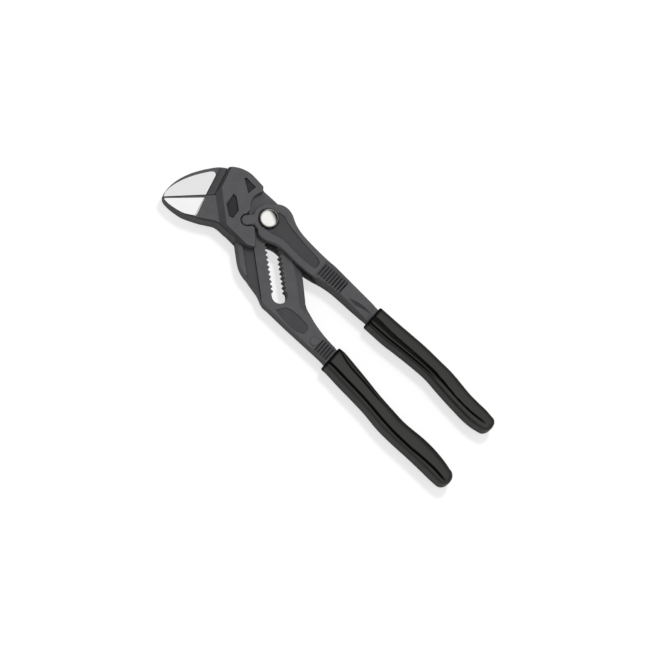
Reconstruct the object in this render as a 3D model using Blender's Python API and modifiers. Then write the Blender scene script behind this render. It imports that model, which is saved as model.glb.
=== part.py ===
# Pliers wrench, 180 mm class: a toothed-slot arm with the fixed jaw, a sliding jaw that straddles it,
# a forked lever that drives the sliding jaw, and a toothed bolt with a push button.
# Metres, +Z up. The pin axis is the Z axis, the tool lies flat on Z = 0 and its handles run along +X.
# The bar frame has +Y up the slotted bar towards the fixed jaw and +X towards the bar's back edge.

import bpy
import bmesh
from math import asin, cos, hypot, pi, radians, sin, tan
from mathutils import Matrix, Vector

# Layers, from the middle plane outwards
HEAD_THICKNESS = 0.0120
BAR_THICKNESS = 0.0056
JAW_THICKNESS = 0.0090
RUNNING_GAP = 0.0003
OVERRUN = 0.002
WELD = 0.000001

# The bar and its guide grooves, in the bar frame
BAR_ANGLE = radians(47.8)
BAR_FRONT = 0.0156
BAR_BACK = 0.0126
BAR_FOOT = 0.0341
BAR_EDGE = 0.0004
GROOVE_FRONT = 0.0130
GROOVE_BACK = 0.0079
GROOVE_DEPTH = 0.0008
GROOVE_TOP = 0.0125
BACK_FLAT = 0.0092
BACK_BEVEL_DEPTH = 0.0014

# The toothed slot and the bolt's catch
PITCH = 0.00225
STEPS = 12
SLOT_OFFSET = 0.0006
SLOT_HALF_WIDTH = 0.0026
TOOTH_DEPTH = 0.00105
SLOT_TOP_CLEARANCE = 0.0004
BLOCK_TEETH = 3
SPARE_TEETH = 1
SLOT_RUN = 0.0012
BITE = 0.0019

# Jaws, in the bar frame
GRIP_HEIGHT = 0.0142
FACE_FOOT = 0.01355
FACE_TILT = radians(4)
JAW_LENGTH = 0.0307
JAW_RISE = 0.0122
JAW_DROP = 0.0140
JAW_EDGE = 0.0009
GROUND_START = 0.0108
GROUND_ANGLE = radians(55.1)
GROUND_SLOPE = radians(7.5)
SEAM_FOOT = 0.0068
SEAM_ANGLE = radians(56)
STRIP_WIDTH = 0.0033
STRIP_DEPTH = 0.0005

# Cheeks of the sliding jaw
HEAD_WIDTH = 0.0249
CHEEK_TAIL = 0.0123
CHEEK_CORNER = 0.0009
CHEEK_LOWER_ANGLE = radians(-52)
CHEEK_BAND = 0.0029
CHEEK_CHAMFER = 0.0012
CHEEK_EDGE = 0.0003
DIMPLE_DEPTH = 0.0008
RIB_SHORT = 0.0017

# The lever's head and the nose that drives the jaw
RING_RADIUS = 0.0071
NOSE_REACH = 0.0100
NOSE_ANGLE = radians(177.7)
NOSE_RADIUS = 0.0025
OPEN_ANGLE = radians(30)
RING_TOP_ANGLE = radians(113)
RING_LOW_ANGLE = radians(265)
POCKET_CLEARANCE = 0.00035
POCKET_LIP = 0.0004
POCKET_CORNER = 0.0008
ARC_CLEARANCE = 0.0005
ARC_START = radians(95)
ARC_END = radians(182)

# The lever arm, along +X of the tool frame
ARM_REACH = 0.0636
ARM_WIDTH = 0.0095
ARM_THICKNESS = 0.0074
ARM_EDGE = 0.0006
PANEL_DEPTH = 0.0005
PANEL_LENGTH = 0.0305
KNURL_START = 0.0330
KNURL_PITCH = 0.00155
KNURL_COUNT = 9
KNURL_WIDTH = 0.0008
KNURL_DEPTH = 0.0005
KNURL_HALF_LENGTH = 0.0031
KNURL_OFFSET = 0.0009
NECK_BEVEL_STEP = 0.0002
NECK_BEVEL_SLOPE = radians(14)

# The slotted arm's shank and handle, in the tool frame
HANDLE_DROP = 0.0286
SHANK_REACH = 0.0617
SHANK_KNURL_SETBACK = 0.0077
SHANK_KNURL_COUNT = 5
SHANK_KNURL_HALF_LENGTH = 0.0031
BOSS_RADIUS = 0.0020
BOSS_HEIGHT = 0.0004
BOSS_GAP = 0.0026
BOSS_SIDES = 20
LABEL_DEPTH = 0.00035

# Dipped grips
LEVER_GRIP_LENGTH = 0.0732
SLOTTED_GRIP_LENGTH = 0.0764
GRIP_HALF_WIDTH = 0.0058
GRIP_THICKNESS = 0.0118
GRIP_BOW = 0.0077
GRIP_WALL = 0.0019
GRIP_FIT = 0.0003
GRIP_CREASE = 0.0008
GRIP_LIP = 0.0008
GRIP_CORE = 0.0665
LEVER_GRIP_OFFSET = 0.00065

# Bolt, button and spring
DISC_RADIUS = 0.0049
NECK_RADIUS = 0.0017
FLOOR = 0.0005
BUTTON_RADIUS = 0.0043
BUTTON_WALL = 0.0006
BUTTON_PROUD = 0.0024
BUTTON_SIDE = 0.0008
BUTTON_ROOF = 0.0012
BUTTON_BORE_CLEARANCE = 0.0006
SPRING_WIRE = 0.0005
SPRING_TURNS = 3
SPRING_POINTS = 10
SPRING_SEAT = 0.00015

# Sides of round pieces
ROUND_SIDES = 48
NECK_SIDES = 32
DOME_STEPS = 6
BEVEL_FADE_ROWS = 4
CREASE_POINT = 6
FLAT_ANGLE = radians(0.1)
SHARP_ANGLE = radians(32)

# Worked out from the sizes above
HALF_HEAD = HEAD_THICKNESS / 2
HALF_BAR = BAR_THICKNESS / 2
HALF_JAW = JAW_THICKNESS / 2
HALF_CHANNEL = HALF_BAR + RUNNING_GAP
SLIDE = STEPS * PITCH
PRESS_TRAVEL = BITE + RUNNING_GAP
BLOCK_HALF = BLOCK_TEETH * PITCH / 2
SHANK_START = BAR_FOOT * sin(BAR_ANGLE)
SHANK_KNURL_START = SHANK_REACH - SHANK_KNURL_SETBACK
STROKE = NOSE_REACH * (sin(NOSE_ANGLE) - sin(NOSE_ANGLE + OPEN_ANGLE))
ARC_RADIUS = RING_RADIUS + ARC_CLEARANCE
DISC_BORE = DISC_RADIUS + RUNNING_GAP
NECK_BORE = NECK_RADIUS + RUNNING_GAP
BUTTON_BORE = BUTTON_RADIUS + BUTTON_BORE_CLEARANCE
FLOOR_TOP = HALF_CHANNEL + FLOOR
SKIRT_FOOT = FLOOR_TOP + RUNNING_GAP + PRESS_TRAVEL
BUTTON_TOP = SKIRT_FOOT + BUTTON_PROUD
ROOF = BUTTON_TOP - BUTTON_ROOF

# Outlines as shares of the sizes that they follow
UPPER_JAW_SHARES = ((0.974, 0.10), (0.94, 0.27), (0.863, 0.455), (0.769, 0.615), (0.664, 0.745),
                    (0.531, 0.86), (0.391, 0.93), (0.244, 0.98), (0.137, 1.0), (0.049, 0.98),
                    (-0.023, 0.93))
LOWER_JAW_SHARES = ((0.003, 1.61), (0.052, 1.44), (0.130, 1.27), (0.186, 1.12), (0.244, 1.0), (0.316, 0.93),
                    (0.456, 0.84), (0.580, 0.725), (0.697, 0.604), (0.785, 0.464), (0.866, 0.314),
                    (0.93, 0.165), (0.965, 0.05), (0.974, -0.02))
CROWN_SHARES = ((0.028, 0.95), (0.165, 0.905), (0.262, 0.84), (0.344, 0.745), (0.43, 0.605), (0.497, 0.44),
                (0.622, 0.08))
SHOULDER_SHARES = ((0.663, -0.066), (0.867, -0.549), (0.955, -0.83))
TAIL_SHARES = ((0.445, 0.33), (0.473, 0.74), (0.50, 1.0), (0.62, 0.98), (0.77, 0.89), (0.90, 0.76),
               (1.0, 0.67))
BAR_FRONT_SHARES = ((1.0, 0.50), (0.985, 0.58), (0.93, 0.665), (0.84, 0.74), (0.712, 0.858), (0.577, 0.972),
                    (0.515, 1.062), (0.45, 1.135))
BAR_BACK_SHARES = ((0.775, -0.147), (0.917, -0.44), (1.0, -0.734), (1.0, -0.904), (0.983, -1.053))
SHANK_INNER_SHARES = ((0.0938, 0.615), (0.2135, 0.685), (0.3714, 0.745), (0.5551, 0.794), (0.7605, 0.832),
                      (0.9293, 0.846))
SHANK_OUTER_SHARES = ((0.051, 1.091), (0.194, 1.101), (0.362, 1.112), (0.549, 1.119), (0.802, 1.126),
                      (0.953, 1.133))
LEVER_OUTER_SHARES = ((-0.016, 0.90), (0.019, 1.02), (0.066, 1.045), (0.112, 0.95), (0.148, 0.80),
                      (0.184, 0.68), (0.232, 0.58), (0.294, 0.52), (0.384, 0.478), (0.480, 0.455),
                      (0.571, 0.455), (0.66, 0.42), (0.80, 0.35))
LEVER_UNDER_SHARES = ((0.80, -0.44), (0.72, -0.43), (0.645, -0.445), (0.583, -0.51), (0.519, -0.61),
                      (0.448, -0.69), (0.346, -0.715), (0.252, -0.684), (0.179, -0.684), (0.134, -0.768),
                      (0.093, -0.884), (0.044, -0.937), (0.014, -0.895))
NECK_BEVEL_SHARES = ((0.779, -0.47), (0.849, -0.353), (0.912, -0.247), (0.973, -0.158), (1.0, -0.125))
LEVER_THICKNESS_SHARES = ((-0.5, 0.0), (0.22, 0.0), (0.50, 0.587), (0.94, 0.74), (0.98, 1.0), (2.2, 1.0))
PANEL_SHARES = ((0.05, -0.53), (0.17, -0.46), (0.26, -0.38), (0.37, -0.315), (0.50, -0.35), (0.66, -0.38),
                (0.93, -0.37), (0.99, -0.29), (1.0, -0.12), (0.985, 0.07), (0.93, 0.17), (0.66, 0.25),
                (0.48, 0.33), (0.37, 0.39), (0.255, 0.49), (0.20, 0.56), (0.14, 0.63), (0.05, 0.59))
LABEL_SHARES = ((0.101, 1.025), (0.176, 0.883), (0.256, 0.851), (0.390, 0.847), (0.523, 0.871),
                (0.561, 0.921), (0.555, 1.027), (0.439, 1.086), (0.252, 1.067))
HEX_DIMPLE_SHARES = ((0.052, 0.915), (0.098, 0.817), (0.10, 0.352), (-0.026, 0.12), (-0.098, 0.19),
                     (-0.108, 0.592))
TRI_DIMPLE_SHARES = ((0.289, 0.459), (0.333, 0.467), (0.482, 0.074), (0.321, -0.139))
SLOTTED_GRIP_SHARES = ((0.008, 0.026, 1.03), (0.047, 0.031, 1.04), (0.141, 0.164, 1.007),
                       (0.246, 0.305, 0.945), (0.361, 0.478, 0.883), (0.476, 0.658, 0.909),
                       (0.581, 0.753, 0.888), (0.716, 0.753, 0.929), (0.812, 0.805, 0.914),
                       (0.898, 0.909, 0.85), (0.95, 0.987, 0.759), (0.983, 1.013, 0.569),
                       (1.0, 1.013, 0.241))
LEVER_GRIP_SHARES = ((0.012, 0.065, 0.94), (0.15, 0.082, 0.947), (0.25, 0.052, 0.92), (0.37, 0.025, 0.885),
                     (0.49, 0.057, 0.84), (0.59, 0.157, 0.886), (0.68, 0.286, 0.872), (0.755, 0.391, 0.84),
                     (0.835, 0.46, 0.843), (0.90, 0.469, 0.817), (0.955, 0.464, 0.707),
                     (0.985, 0.455, 0.543), (1.0, 0.435, 0.24))
GRIP_SECTION_SHARES = ((1.0, 0.0), (0.99, 0.38), (0.86, 0.76), (0.55, 0.96), (0.10, 1.0), (-0.24, 0.97),
                       (-0.34, 0.93), (-0.44, 0.93), (-0.60, 0.86), (-0.86, 0.70), (-0.99, 0.36))


# Plain geometry

def smooth(points, steps=3):
    """A Catmull-Rom curve through the points, with its two ends kept."""
    padded = [points[0]] + list(points) + [points[-1]]
    out = []
    for a, b, c, d in zip(padded, padded[1:], padded[2:], padded[3:]):
        for i in range(steps):
            t = i / steps
            out.append(tuple(
                (2 * q + (r - p) * t + (2 * p - 5 * q + 4 * r - s) * t**2 + (3 * q - p - 3 * r + s) * t**3) / 2
                for p, q, r, s in zip(a, b, c, d)))
    return out + [tuple(points[-1])]


def arc(centre, radius, start, end, steps):
    """Points on a circle from one angle to another."""
    angles = [start + (end - start) * i / steps for i in range(steps + 1)]
    return [(centre[0] + radius * cos(a), centre[1] + radius * sin(a)) for a in angles]


def turned(points, angle):
    """Plane points turned about the pin axis."""
    return [(x * cos(angle) - y * sin(angle), x * sin(angle) + y * cos(angle)) for x, y in points]


def shifted(points, dx, dy):
    """Plane points moved by one step."""
    return [(x + dx, y + dy) for x, y in points]


def mirrored(points):
    """The points reflected across the bar's middle line, in the opposite order."""
    return [(-x, y) for x, y in points][::-1]


def scaled(shares, width, height):
    """A table of shares made into plane points."""
    return [(width * s, height * t) for s, t in shares]


def beside(points, distance):
    """An open line moved sideways, to the left of its run."""
    out = []
    last = len(points) - 1
    for i, (x, y) in enumerate(points):
        x0, y0 = points[max(i - 1, 0)]
        x1, y1 = points[min(i + 1, last)]
        run = hypot(x1 - x0, y1 - y0)
        out.append((x - (y1 - y0) / run * distance, y + (x1 - x0) / run * distance))
    return out


def inset_polygon(points, distances):
    """An anticlockwise polygon with each side moved inwards by its own distance."""
    count = len(points)
    lines = []
    for i in range(count):
        (x0, y0), (x1, y1) = points[i], points[(i + 1) % count]
        run = hypot(x1 - x0, y1 - y0)
        a, b = (y1 - y0) / run, -(x1 - x0) / run
        lines.append((a, b, a * x0 + b * y0 - distances[i]))
    out = []
    for i in range(count):
        (a, b, e), (c, d, f) = lines[i - 1], lines[i]
        det = a * d - b * c
        out.append(((e * d - b * f) / det, (a * f - e * c) / det))
    return out


def between(table, x):
    """The second column of a table at x, straight between its rows."""
    for (x0, y0), (x1, y1) in zip(table, table[1:]):
        if x <= x1:
            return y0 + (y1 - y0) * (x - x0) / (x1 - x0)
    return table[-1][1]


# Blender helpers

def fresh_collection(name):
    """A new collection in the scene."""
    collection = bpy.data.collections.new(name)
    bpy.context.scene.collection.children.link(collection)
    return collection


def empty(name, parent=None, location=(0, 0, 0), angle=0.0):
    """A frame that carries pieces."""
    frame = bpy.data.objects.new(name, None)
    frame.location = location
    frame.rotation_euler.z = angle
    frame.parent = parent
    PARTS.objects.link(frame)
    return frame


def material(name, colour, roughness, metallic):
    """A plain Principled material."""
    made = bpy.data.materials.new(name)
    made.use_nodes = True
    shader = made.node_tree.nodes["Principled BSDF"]
    shader.inputs["Base Color"].default_value = (*colour, 1.0)
    shader.inputs["Roughness"].default_value = roughness
    shader.inputs["Metallic"].default_value = metallic
    return made


def placed(mesh, name, frame, cutter=False):
    """An object for a mesh, carried by a frame, among the parts or the cutters."""
    made = bpy.data.objects.new(name, mesh)
    made.parent = frame
    made.hide_render = cutter
    made.display_type = 'WIRE' if cutter else 'TEXTURED'
    (CUTTERS if cutter else PARTS).objects.link(made)
    return made


def object_from(bm, name, frame, cutter=False):
    """A mesh object from a bmesh, with its faces turned outwards."""
    bmesh.ops.recalc_face_normals(bm, faces=bm.faces)
    mesh = bpy.data.meshes.new(name)
    bm.to_mesh(mesh)
    bm.free()
    return placed(mesh, name, frame, cutter)


def evaluated_mesh(thing):
    """The object's mesh as its modifiers or its curve settings make it."""
    bpy.context.view_layer.update()
    graph = bpy.context.evaluated_depsgraph_get()
    return bpy.data.meshes.new_from_object(thing.evaluated_get(graph))


def settled(thing):
    """The object with its modifiers applied and the doubles that they leave merged."""
    mesh = evaluated_mesh(thing)
    thing.modifiers.clear()
    bm = bmesh.new()
    bm.from_mesh(mesh)
    bmesh.ops.remove_doubles(bm, verts=bm.verts, dist=WELD)
    bmesh.ops.dissolve_degenerate(bm, edges=bm.edges, dist=WELD)
    bmesh.ops.recalc_face_normals(bm, faces=bm.faces)
    bm.to_mesh(mesh)
    bm.free()
    thing.data = mesh
    return thing


def flat(name, outline, low, high, frame, cutter=False, edge=0.0):
    """A flat piece between two heights: a filled 2D curve made a mesh, with an optional chamfer."""
    curve = bpy.data.curves.new(name, 'CURVE')
    curve.dimensions = '2D'
    curve.fill_mode = 'BOTH'
    curve.extrude = (high - low) / 2
    spline = curve.splines.new('POLY')
    spline.points.add(len(outline) - 1)
    for point, (x, y) in zip(spline.points, outline):
        point.co = (x, y, 0, 1)
    spline.use_cyclic_u = True
    source = bpy.data.objects.new(name, curve)
    CUTTERS.objects.link(source)
    mesh = evaluated_mesh(source)
    bpy.data.objects.remove(source)
    bm = bmesh.new()
    bm.from_mesh(mesh)
    bmesh.ops.remove_doubles(bm, verts=bm.verts, dist=WELD)
    bmesh.ops.dissolve_limit(bm, angle_limit=FLAT_ANGLE, verts=bm.verts, edges=bm.edges)
    bmesh.ops.translate(bm, verts=bm.verts, vec=(0, 0, (low + high) / 2))
    if edge > 0:
        rims = [e for e in bm.edges if abs(e.verts[0].co.z - e.verts[1].co.z) < WELD]
        bmesh.ops.bevel(bm, geom=rims, offset=edge, offset_type='OFFSET', segments=1, affect='EDGES',
                        clamp_overlap=False)
    return object_from(bm, name, frame, cutter)


def spun(name, profile, frame, sides, cutter=False):
    """A profile of (radius, height) points spun about the pin axis, closed on the axis."""
    mesh = bpy.data.meshes.new(name)
    points = [(r, 0, z) for r, z in profile]
    mesh.from_pydata(points, [(i, i + 1) for i in range(len(points) - 1)], [])
    made = placed(mesh, name, frame, cutter)
    screw = made.modifiers.new("turn", 'SCREW')
    screw.axis = 'Z'
    screw.steps = sides
    screw.render_steps = sides
    screw.use_merge_vertices = True
    screw.merge_threshold = WELD
    return settled(made)


def loft(name, rings, frame, cutter=False):
    """A closed skin through rings that all have the same number of points."""
    bm = bmesh.new()
    rows = [[bm.verts.new(p) for p in ring] for ring in rings]
    count = len(rows[0])
    for low, high in zip(rows, rows[1:]):
        for i in range(count):
            j = (i + 1) % count
            bm.faces.new((low[i], low[j], high[j], high[i]))
    bm.faces.new(rows[0][::-1])
    bm.faces.new(rows[-1])
    return object_from(bm, name, frame, cutter)


def combine(thing, other, operation):
    """A Boolean of two solids."""
    boolean = thing.modifiers.new(operation.lower(), 'BOOLEAN')
    boolean.operation = operation
    boolean.solver = 'EXACT'
    boolean.object = other
    return settled(thing)


def cut(thing, *cutters):
    """The solid with each cutter taken away from it."""
    for cutter in cutters:
        combine(thing, cutter, 'DIFFERENCE')
    return thing


def joined(thing, *others):
    """One solid from several; the others are removed once they are part of it."""
    for other in others:
        combine(thing, other, 'UNION')
        bpy.data.objects.remove(other)
    return thing


def sunk(name, outline, depth, face, frame):
    """Two cutters that sink the outline by depth into the front and the back face."""
    floor = face - depth
    top = face + OVERRUN
    return [flat(name + "_front", outline, floor, top, frame, cutter=True),
            flat(name + "_back", outline, -top, -floor, frame, cutter=True)]


# Outlines that more than one piece follows

def jaw_leaf():
    """Both closed jaws seen from above as one leaf, in the bar frame."""
    upper = [(-(BAR_FRONT + JAW_LENGTH * s), GRIP_HEIGHT + JAW_RISE * t) for s, t in UPPER_JAW_SHARES]
    lower = [(-(BAR_FRONT + JAW_LENGTH * s), GRIP_HEIGHT - JAW_DROP * t) for s, t in LOWER_JAW_SHARES]
    heel = (-(GROOVE_FRONT + JAW_EDGE / 2), lower[0][1])
    return [heel] + smooth(lower, 2) + smooth(upper, 2)


def head_point(s, t):
    """A point of the head by its shares of the head's width and of the jaw's rise."""
    return (-BAR_FRONT + HEAD_WIDTH * s, GRIP_HEIGHT + JAW_RISE * t)


def crown():
    """The top contour of the head from the seam to the end of the cheeks."""
    return smooth([head_point(s, t) for s, t in CROWN_SHARES], 2)


def bar_back():
    """The bar's back contour from the end of the cheeks down to the slot's foot."""
    top = [head_point(s, t) for s, t in SHOULDER_SHARES]
    return smooth(top + scaled(BAR_BACK_SHARES, BAR_BACK, BAR_FOOT), 2)


def along_shank(start, shares):
    """A table of shares made into points between a start and the grip's mouth, in the bar frame."""
    return turned(shifted(scaled(shares, SHANK_REACH - start, -HANDLE_DROP), start, 0), -BAR_ANGLE)


def shank_inner():
    """The shank's contour on the lever's side, from the bar's end to the grip, in the bar frame."""
    start = turned(bar_back(), BAR_ANGLE)[-1][0]
    return smooth(along_shank(start, SHANK_INNER_SHARES), 2)


def shank_outer():
    """The shank's far contour, from the bar to the grip, in the bar frame."""
    return smooth(along_shank(SHANK_START, SHANK_OUTER_SHARES), 2)


def grip_stations(shares, start, length, centre):
    """Places along a grip: distance from the pin, centre line and half width, in the tool frame."""
    return [(start + length * s, centre - GRIP_BOW * c, GRIP_HALF_WIDTH * w) for s, c, w in shares]


def slotted_grip_stations():
    """The places along the slotted arm's grip."""
    return grip_stations(SLOTTED_GRIP_SHARES, SHANK_REACH, SLOTTED_GRIP_LENGTH, -HANDLE_DROP)


def lever_grip_stations():
    """The places along the lever's grip."""
    return grip_stations(LEVER_GRIP_SHARES, ARM_REACH, LEVER_GRIP_LENGTH, -LEVER_GRIP_OFFSET)


def core_edges(stations, margin=0.0):
    """The steel core inside a grip: its upper and lower edges, both from the mouth to the end."""
    end = stations[0][0] + GRIP_CORE
    inside = [(x, c, w - GRIP_WALL + margin) for x, c, w in stations if x < end]
    return [(x, c + w) for x, c, w in inside], [(x, c - w) for x, c, w in inside]


def tooth_line(first, last, inset):
    """One toothed side between two half pitches: wide at whole pitches, narrow between them."""
    step = 1 if last > first else -1
    line = []
    for k in range(first, last + step, step):
        width = SLOT_HALF_WIDTH + (TOOTH_DEPTH if k % 2 == 0 else 0) - inset
        line.append((width, k * PITCH / 2))
    return line


def seam_point(distance, sideways):
    """A point on the seam between the fixed jaw and the cheeks, moved to its right by sideways."""
    return (-(BAR_FRONT + SEAM_FOOT) + distance * cos(SEAM_ANGLE) + sideways * sin(SEAM_ANGLE),
            GRIP_HEIGHT + distance * sin(SEAM_ANGLE) - sideways * cos(SEAM_ANGLE))


def face_line(start, end, gap):
    """Two points on the line where the closed jaws meet, moved up by gap."""
    return [(x, FACE_FOOT - (x + BAR_FRONT + SEAM_FOOT) * tan(FACE_TILT) + gap) for x in (start, end)]


def strip_cutters(frame):
    """Wedges that sink the strip beside the ground sides and run out at the seam, on both faces."""
    top = HALF_JAW + OVERRUN
    run = Vector((cos(GROUND_ANGLE), sin(GROUND_ANGLE)))
    across = Vector((sin(GROUND_ANGLE), -cos(GROUND_ANGLE)))
    foot = Vector((-(BAR_FRONT + GROUND_START), GRIP_HEIGHT))
    wedges = []
    for name, side in (("strip_front", 1), ("strip_back", -1)):
        rings = []
        for end in (-JAW_LENGTH, JAW_LENGTH):
            near = foot + run * end
            far = near + across * STRIP_WIDTH * 2
            rings.append([(*near, side * (HALF_JAW - STRIP_DEPTH)), (*far, side * (HALF_JAW + STRIP_DEPTH)),
                          (*far, side * top), (*near, side * top)])
        wedges.append(loft(name, rings, frame, cutter=True))
    return wedges


def ground_cutters(frame):
    """Two wedges that grind the jaws' sides thinner from one straight line towards the tips."""
    size = JAW_LENGTH * 2
    foot = Vector((-(BAR_FRONT + GROUND_START), GRIP_HEIGHT, HALF_JAW))
    turn = Matrix.Rotation(GROUND_ANGLE, 4, 'Z') @ Matrix.Rotation(-GROUND_SLOPE, 4, 'X')
    wedges = []
    for name, side in (("ground_front", 1), ("ground_back", -1)):
        bm = bmesh.new()
        bmesh.ops.create_cube(bm, size=size)
        bmesh.ops.translate(bm, verts=bm.verts, vec=(0, size / 2, size / 2))
        bmesh.ops.transform(bm, matrix=Matrix.Translation(foot) @ turn, verts=bm.verts)
        bmesh.ops.scale(bm, vec=(1, 1, side), verts=bm.verts)
        wedges.append(object_from(bm, name, frame, cutter=True))
    return wedges


# The slotted arm

def arm_plate(frame):
    """The thin forging: the bar under the cheeks, the shank and the core inside the grip."""
    inner_core, outer_core = core_edges(slotted_grip_stations())
    left = -(BAR_FRONT + SEAM_FOOT)
    outline = face_line(left, -BAR_FRONT, RUNNING_GAP / 2)
    outline += smooth(scaled(BAR_FRONT_SHARES, -BAR_FRONT, -BAR_FOOT), 2)
    outline += shank_outer()
    outline += turned(outer_core, -BAR_ANGLE)
    outline += turned(inner_core, -BAR_ANGLE)[::-1]
    outline += shank_inner()[::-1] + bar_back()[::-1] + crown()[::-1]
    outline += [(left, crown()[0][1] - JAW_EDGE)]
    return flat("slotted_arm", outline, -HALF_BAR, HALF_BAR, frame, edge=BAR_EDGE)


def fixed_jaw(frame):
    """The thick upper jaw, from its gripping face to the seam."""
    jaw = flat("fixed_jaw", jaw_leaf(), -HALF_JAW, HALF_JAW, frame, edge=JAW_EDGE)
    far = JAW_LENGTH * 2
    below = face_line(far, -far, RUNNING_GAP / 2) + [(-far, -far), (far, -far)]
    seam = -RUNNING_GAP / 2
    right = [seam_point(-JAW_RISE, seam), (far, -JAW_DROP), (far, far), seam_point(JAW_RISE * 2, seam)]
    return cut(jaw, flat("below_fixed_jaw", below, -HEAD_THICKNESS, HEAD_THICKNESS, frame, cutter=True),
               flat("right_of_seam", right, -HEAD_THICKNESS, HEAD_THICKNESS, frame, cutter=True),
               *ground_cutters(frame), *strip_cutters(frame))


def slot_cutter(frame):
    """The toothed slot with its round foot."""
    side = tooth_line(BLOCK_TEETH, -(2 * STEPS + BLOCK_TEETH + 2 * SPARE_TEETH + 1), 0)
    radius, foot_height = side[-1]
    foot = arc((0, foot_height - SLOT_RUN), radius, 0, -pi / 2, 7)
    right = [(SLOT_HALF_WIDTH, BLOCK_HALF + SLOT_TOP_CLEARANCE)] + side + foot
    outline = shifted(right + mirrored(right[:-1]), SLOT_OFFSET, 0)
    return flat("slot", outline, -HALF_BAR - OVERRUN, HALF_BAR + OVERRUN, frame, cutter=True)


def back_bevel(frame):
    """Wedges that lean the bar's back strip down towards its edge, on both faces."""
    line = bar_back()[4:] + shank_inner()[:6]
    strip = BAR_BACK - BACK_FLAT
    slope = BACK_BEVEL_DEPTH / strip
    inner = beside(line, -strip - OVERRUN)
    outer = beside(line, OVERRUN)
    top = HALF_BAR + OVERRUN
    wedges = []
    for name, side in (("back_bevel_front", 1), ("back_bevel_back", -1)):
        rings = []
        for i, (a, b) in enumerate(zip(inner, outer)):
            fade = min(1, (len(line) - 1 - i) / BEVEL_FADE_ROWS)
            low = HALF_BAR + OVERRUN * slope - (strip + 2 * OVERRUN) * slope * fade
            rings.append([(a[0], a[1], side * (HALF_BAR + OVERRUN * slope)), (b[0], b[1], side * low),
                          (b[0], b[1], side * top), (a[0], a[1], side * top)])
        wedges.append(loft(name, rings, frame, cutter=True))
    return wedges


def groove_row(name, start, count, centre, half_length, frame, face):
    """Cutters for a row of cross grooves, each a V; face gives the surface height at a distance."""
    cutters = []
    for k in range(count):
        x = start + k * KNURL_PITCH
        level = face(x)
        half = KNURL_WIDTH / 2
        top = level + OVERRUN
        section = [(x - half, top), (x - half, level), (x, level - KNURL_DEPTH), (x + half, level),
                   (x + half, top)]
        rings = [[(px, centre + side * half_length, pz) for px, pz in section] for side in (-1, 1)]
        cutters.append(loft(f"{name}_{k + 1}", rings, frame, cutter=True))
    return cutters


def make_slotted_arm(tool, frame):
    """Fixed jaw, toothed-slot bar, shank and handle core in one forging."""
    arm = joined(arm_plate(frame), fixed_jaw(frame))
    groove = [(-GROOVE_FRONT, GROOVE_TOP), (-GROOVE_FRONT, -BAR_FOOT * 2), (-GROOVE_BACK, -BAR_FOOT * 2),
              (-GROOVE_BACK, GROOVE_TOP)]
    label = along_shank(SHANK_START, LABEL_SHARES)
    cut(arm, slot_cutter(frame), *sunk("guide_groove", groove, GROOVE_DEPTH, HALF_BAR, frame),
        flat("label_recess", label, HALF_BAR - LABEL_DEPTH, HALF_BAR + OVERRUN, frame, cutter=True),
        *back_bevel(frame),
        *groove_row("shank_groove", SHANK_KNURL_START, SHANK_KNURL_COUNT, -HANDLE_DROP,
                    SHANK_KNURL_HALF_LENGTH, tool, lambda x: HALF_BAR))
    circle = arc((SHANK_KNURL_START - BOSS_GAP, -HANDLE_DROP), BOSS_RADIUS, 0, 2 * pi, BOSS_SIDES)[:-1]
    return joined(arm, flat("boss", turned(circle, -BAR_ANGLE), 0, HALF_BAR + BOSS_HEIGHT, frame))


# The sliding jaw

def cheek_outline():
    """One cheek: crown, the arc round the lever's ring, the nose's pocket, the tail and the jaw's back."""
    nose = (NOSE_REACH * cos(NOSE_ANGLE), NOSE_REACH * sin(NOSE_ANGLE))
    hollow = NOSE_RADIUS + POCKET_CLEARANCE
    outline = crown() + arc((0, STROKE), ARC_RADIUS, ARC_START, ARC_END, 9)
    outline += [(nose[0] + POCKET_LIP, nose[1] + hollow)] + arc(nose, hollow, pi / 2, 3 * pi / 2, 10)
    outline += [(-RING_RADIUS - POCKET_CORNER, nose[1] - hollow),
                (-RING_RADIUS + RUNNING_GAP / 2, nose[1] - hollow - POCKET_CORNER)]
    outline += scaled(TAIL_SHARES, -BAR_FRONT, -CHEEK_TAIL)
    return outline + [(-(BAR_FRONT + SEAM_FOOT), 0), seam_point(-JAW_EDGE, 0), seam_point(0, 0)]


def cheek_envelope(frame):
    """The cheeks' limits: sloped on the seam side, on the jaw side and on the lower side."""
    far = JAW_LENGTH
    band_x = -(BAR_FRONT + SEAM_FOOT)
    low_x = band_x + HEAD_THICKNESS * 2 * cos(CHEEK_LOWER_ANGLE)
    low_y = CHEEK_CORNER + HEAD_THICKNESS * 2 * sin(CHEEK_LOWER_ANGLE)
    seam = RUNNING_GAP / 2
    base = [seam_point(far, seam), seam_point(0, seam), (band_x, CHEEK_CORNER), (low_x, low_y), (far, low_y),
            (far, seam_point(far, seam)[1])]
    top = inset_polygon(base, (CHEEK_CHAMFER, CHEEK_BAND, CHEEK_CHAMFER, 0, 0, 0))
    levels = ((top, -HALF_HEAD), (base, -HALF_JAW), (base, HALF_JAW), (top, HALF_HEAD))
    return loft("cheek_envelope", [[(x, y, z) for x, y in ring] for ring, z in levels], frame, cutter=True)


def lower_jaw(frame):
    """The thick lower jaw below its gripping face."""
    jaw = flat("lower_jaw", jaw_leaf(), -HALF_JAW, HALF_JAW, frame, edge=JAW_EDGE)
    far = JAW_LENGTH * 2
    above = face_line(-far, far, -RUNNING_GAP / 2) + [(far, far), (-far, far)]
    return cut(jaw, flat("above_lower_jaw", above, -HEAD_THICKNESS, HEAD_THICKNESS, frame, cutter=True),
               *ground_cutters(frame), *strip_cutters(frame))


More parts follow.
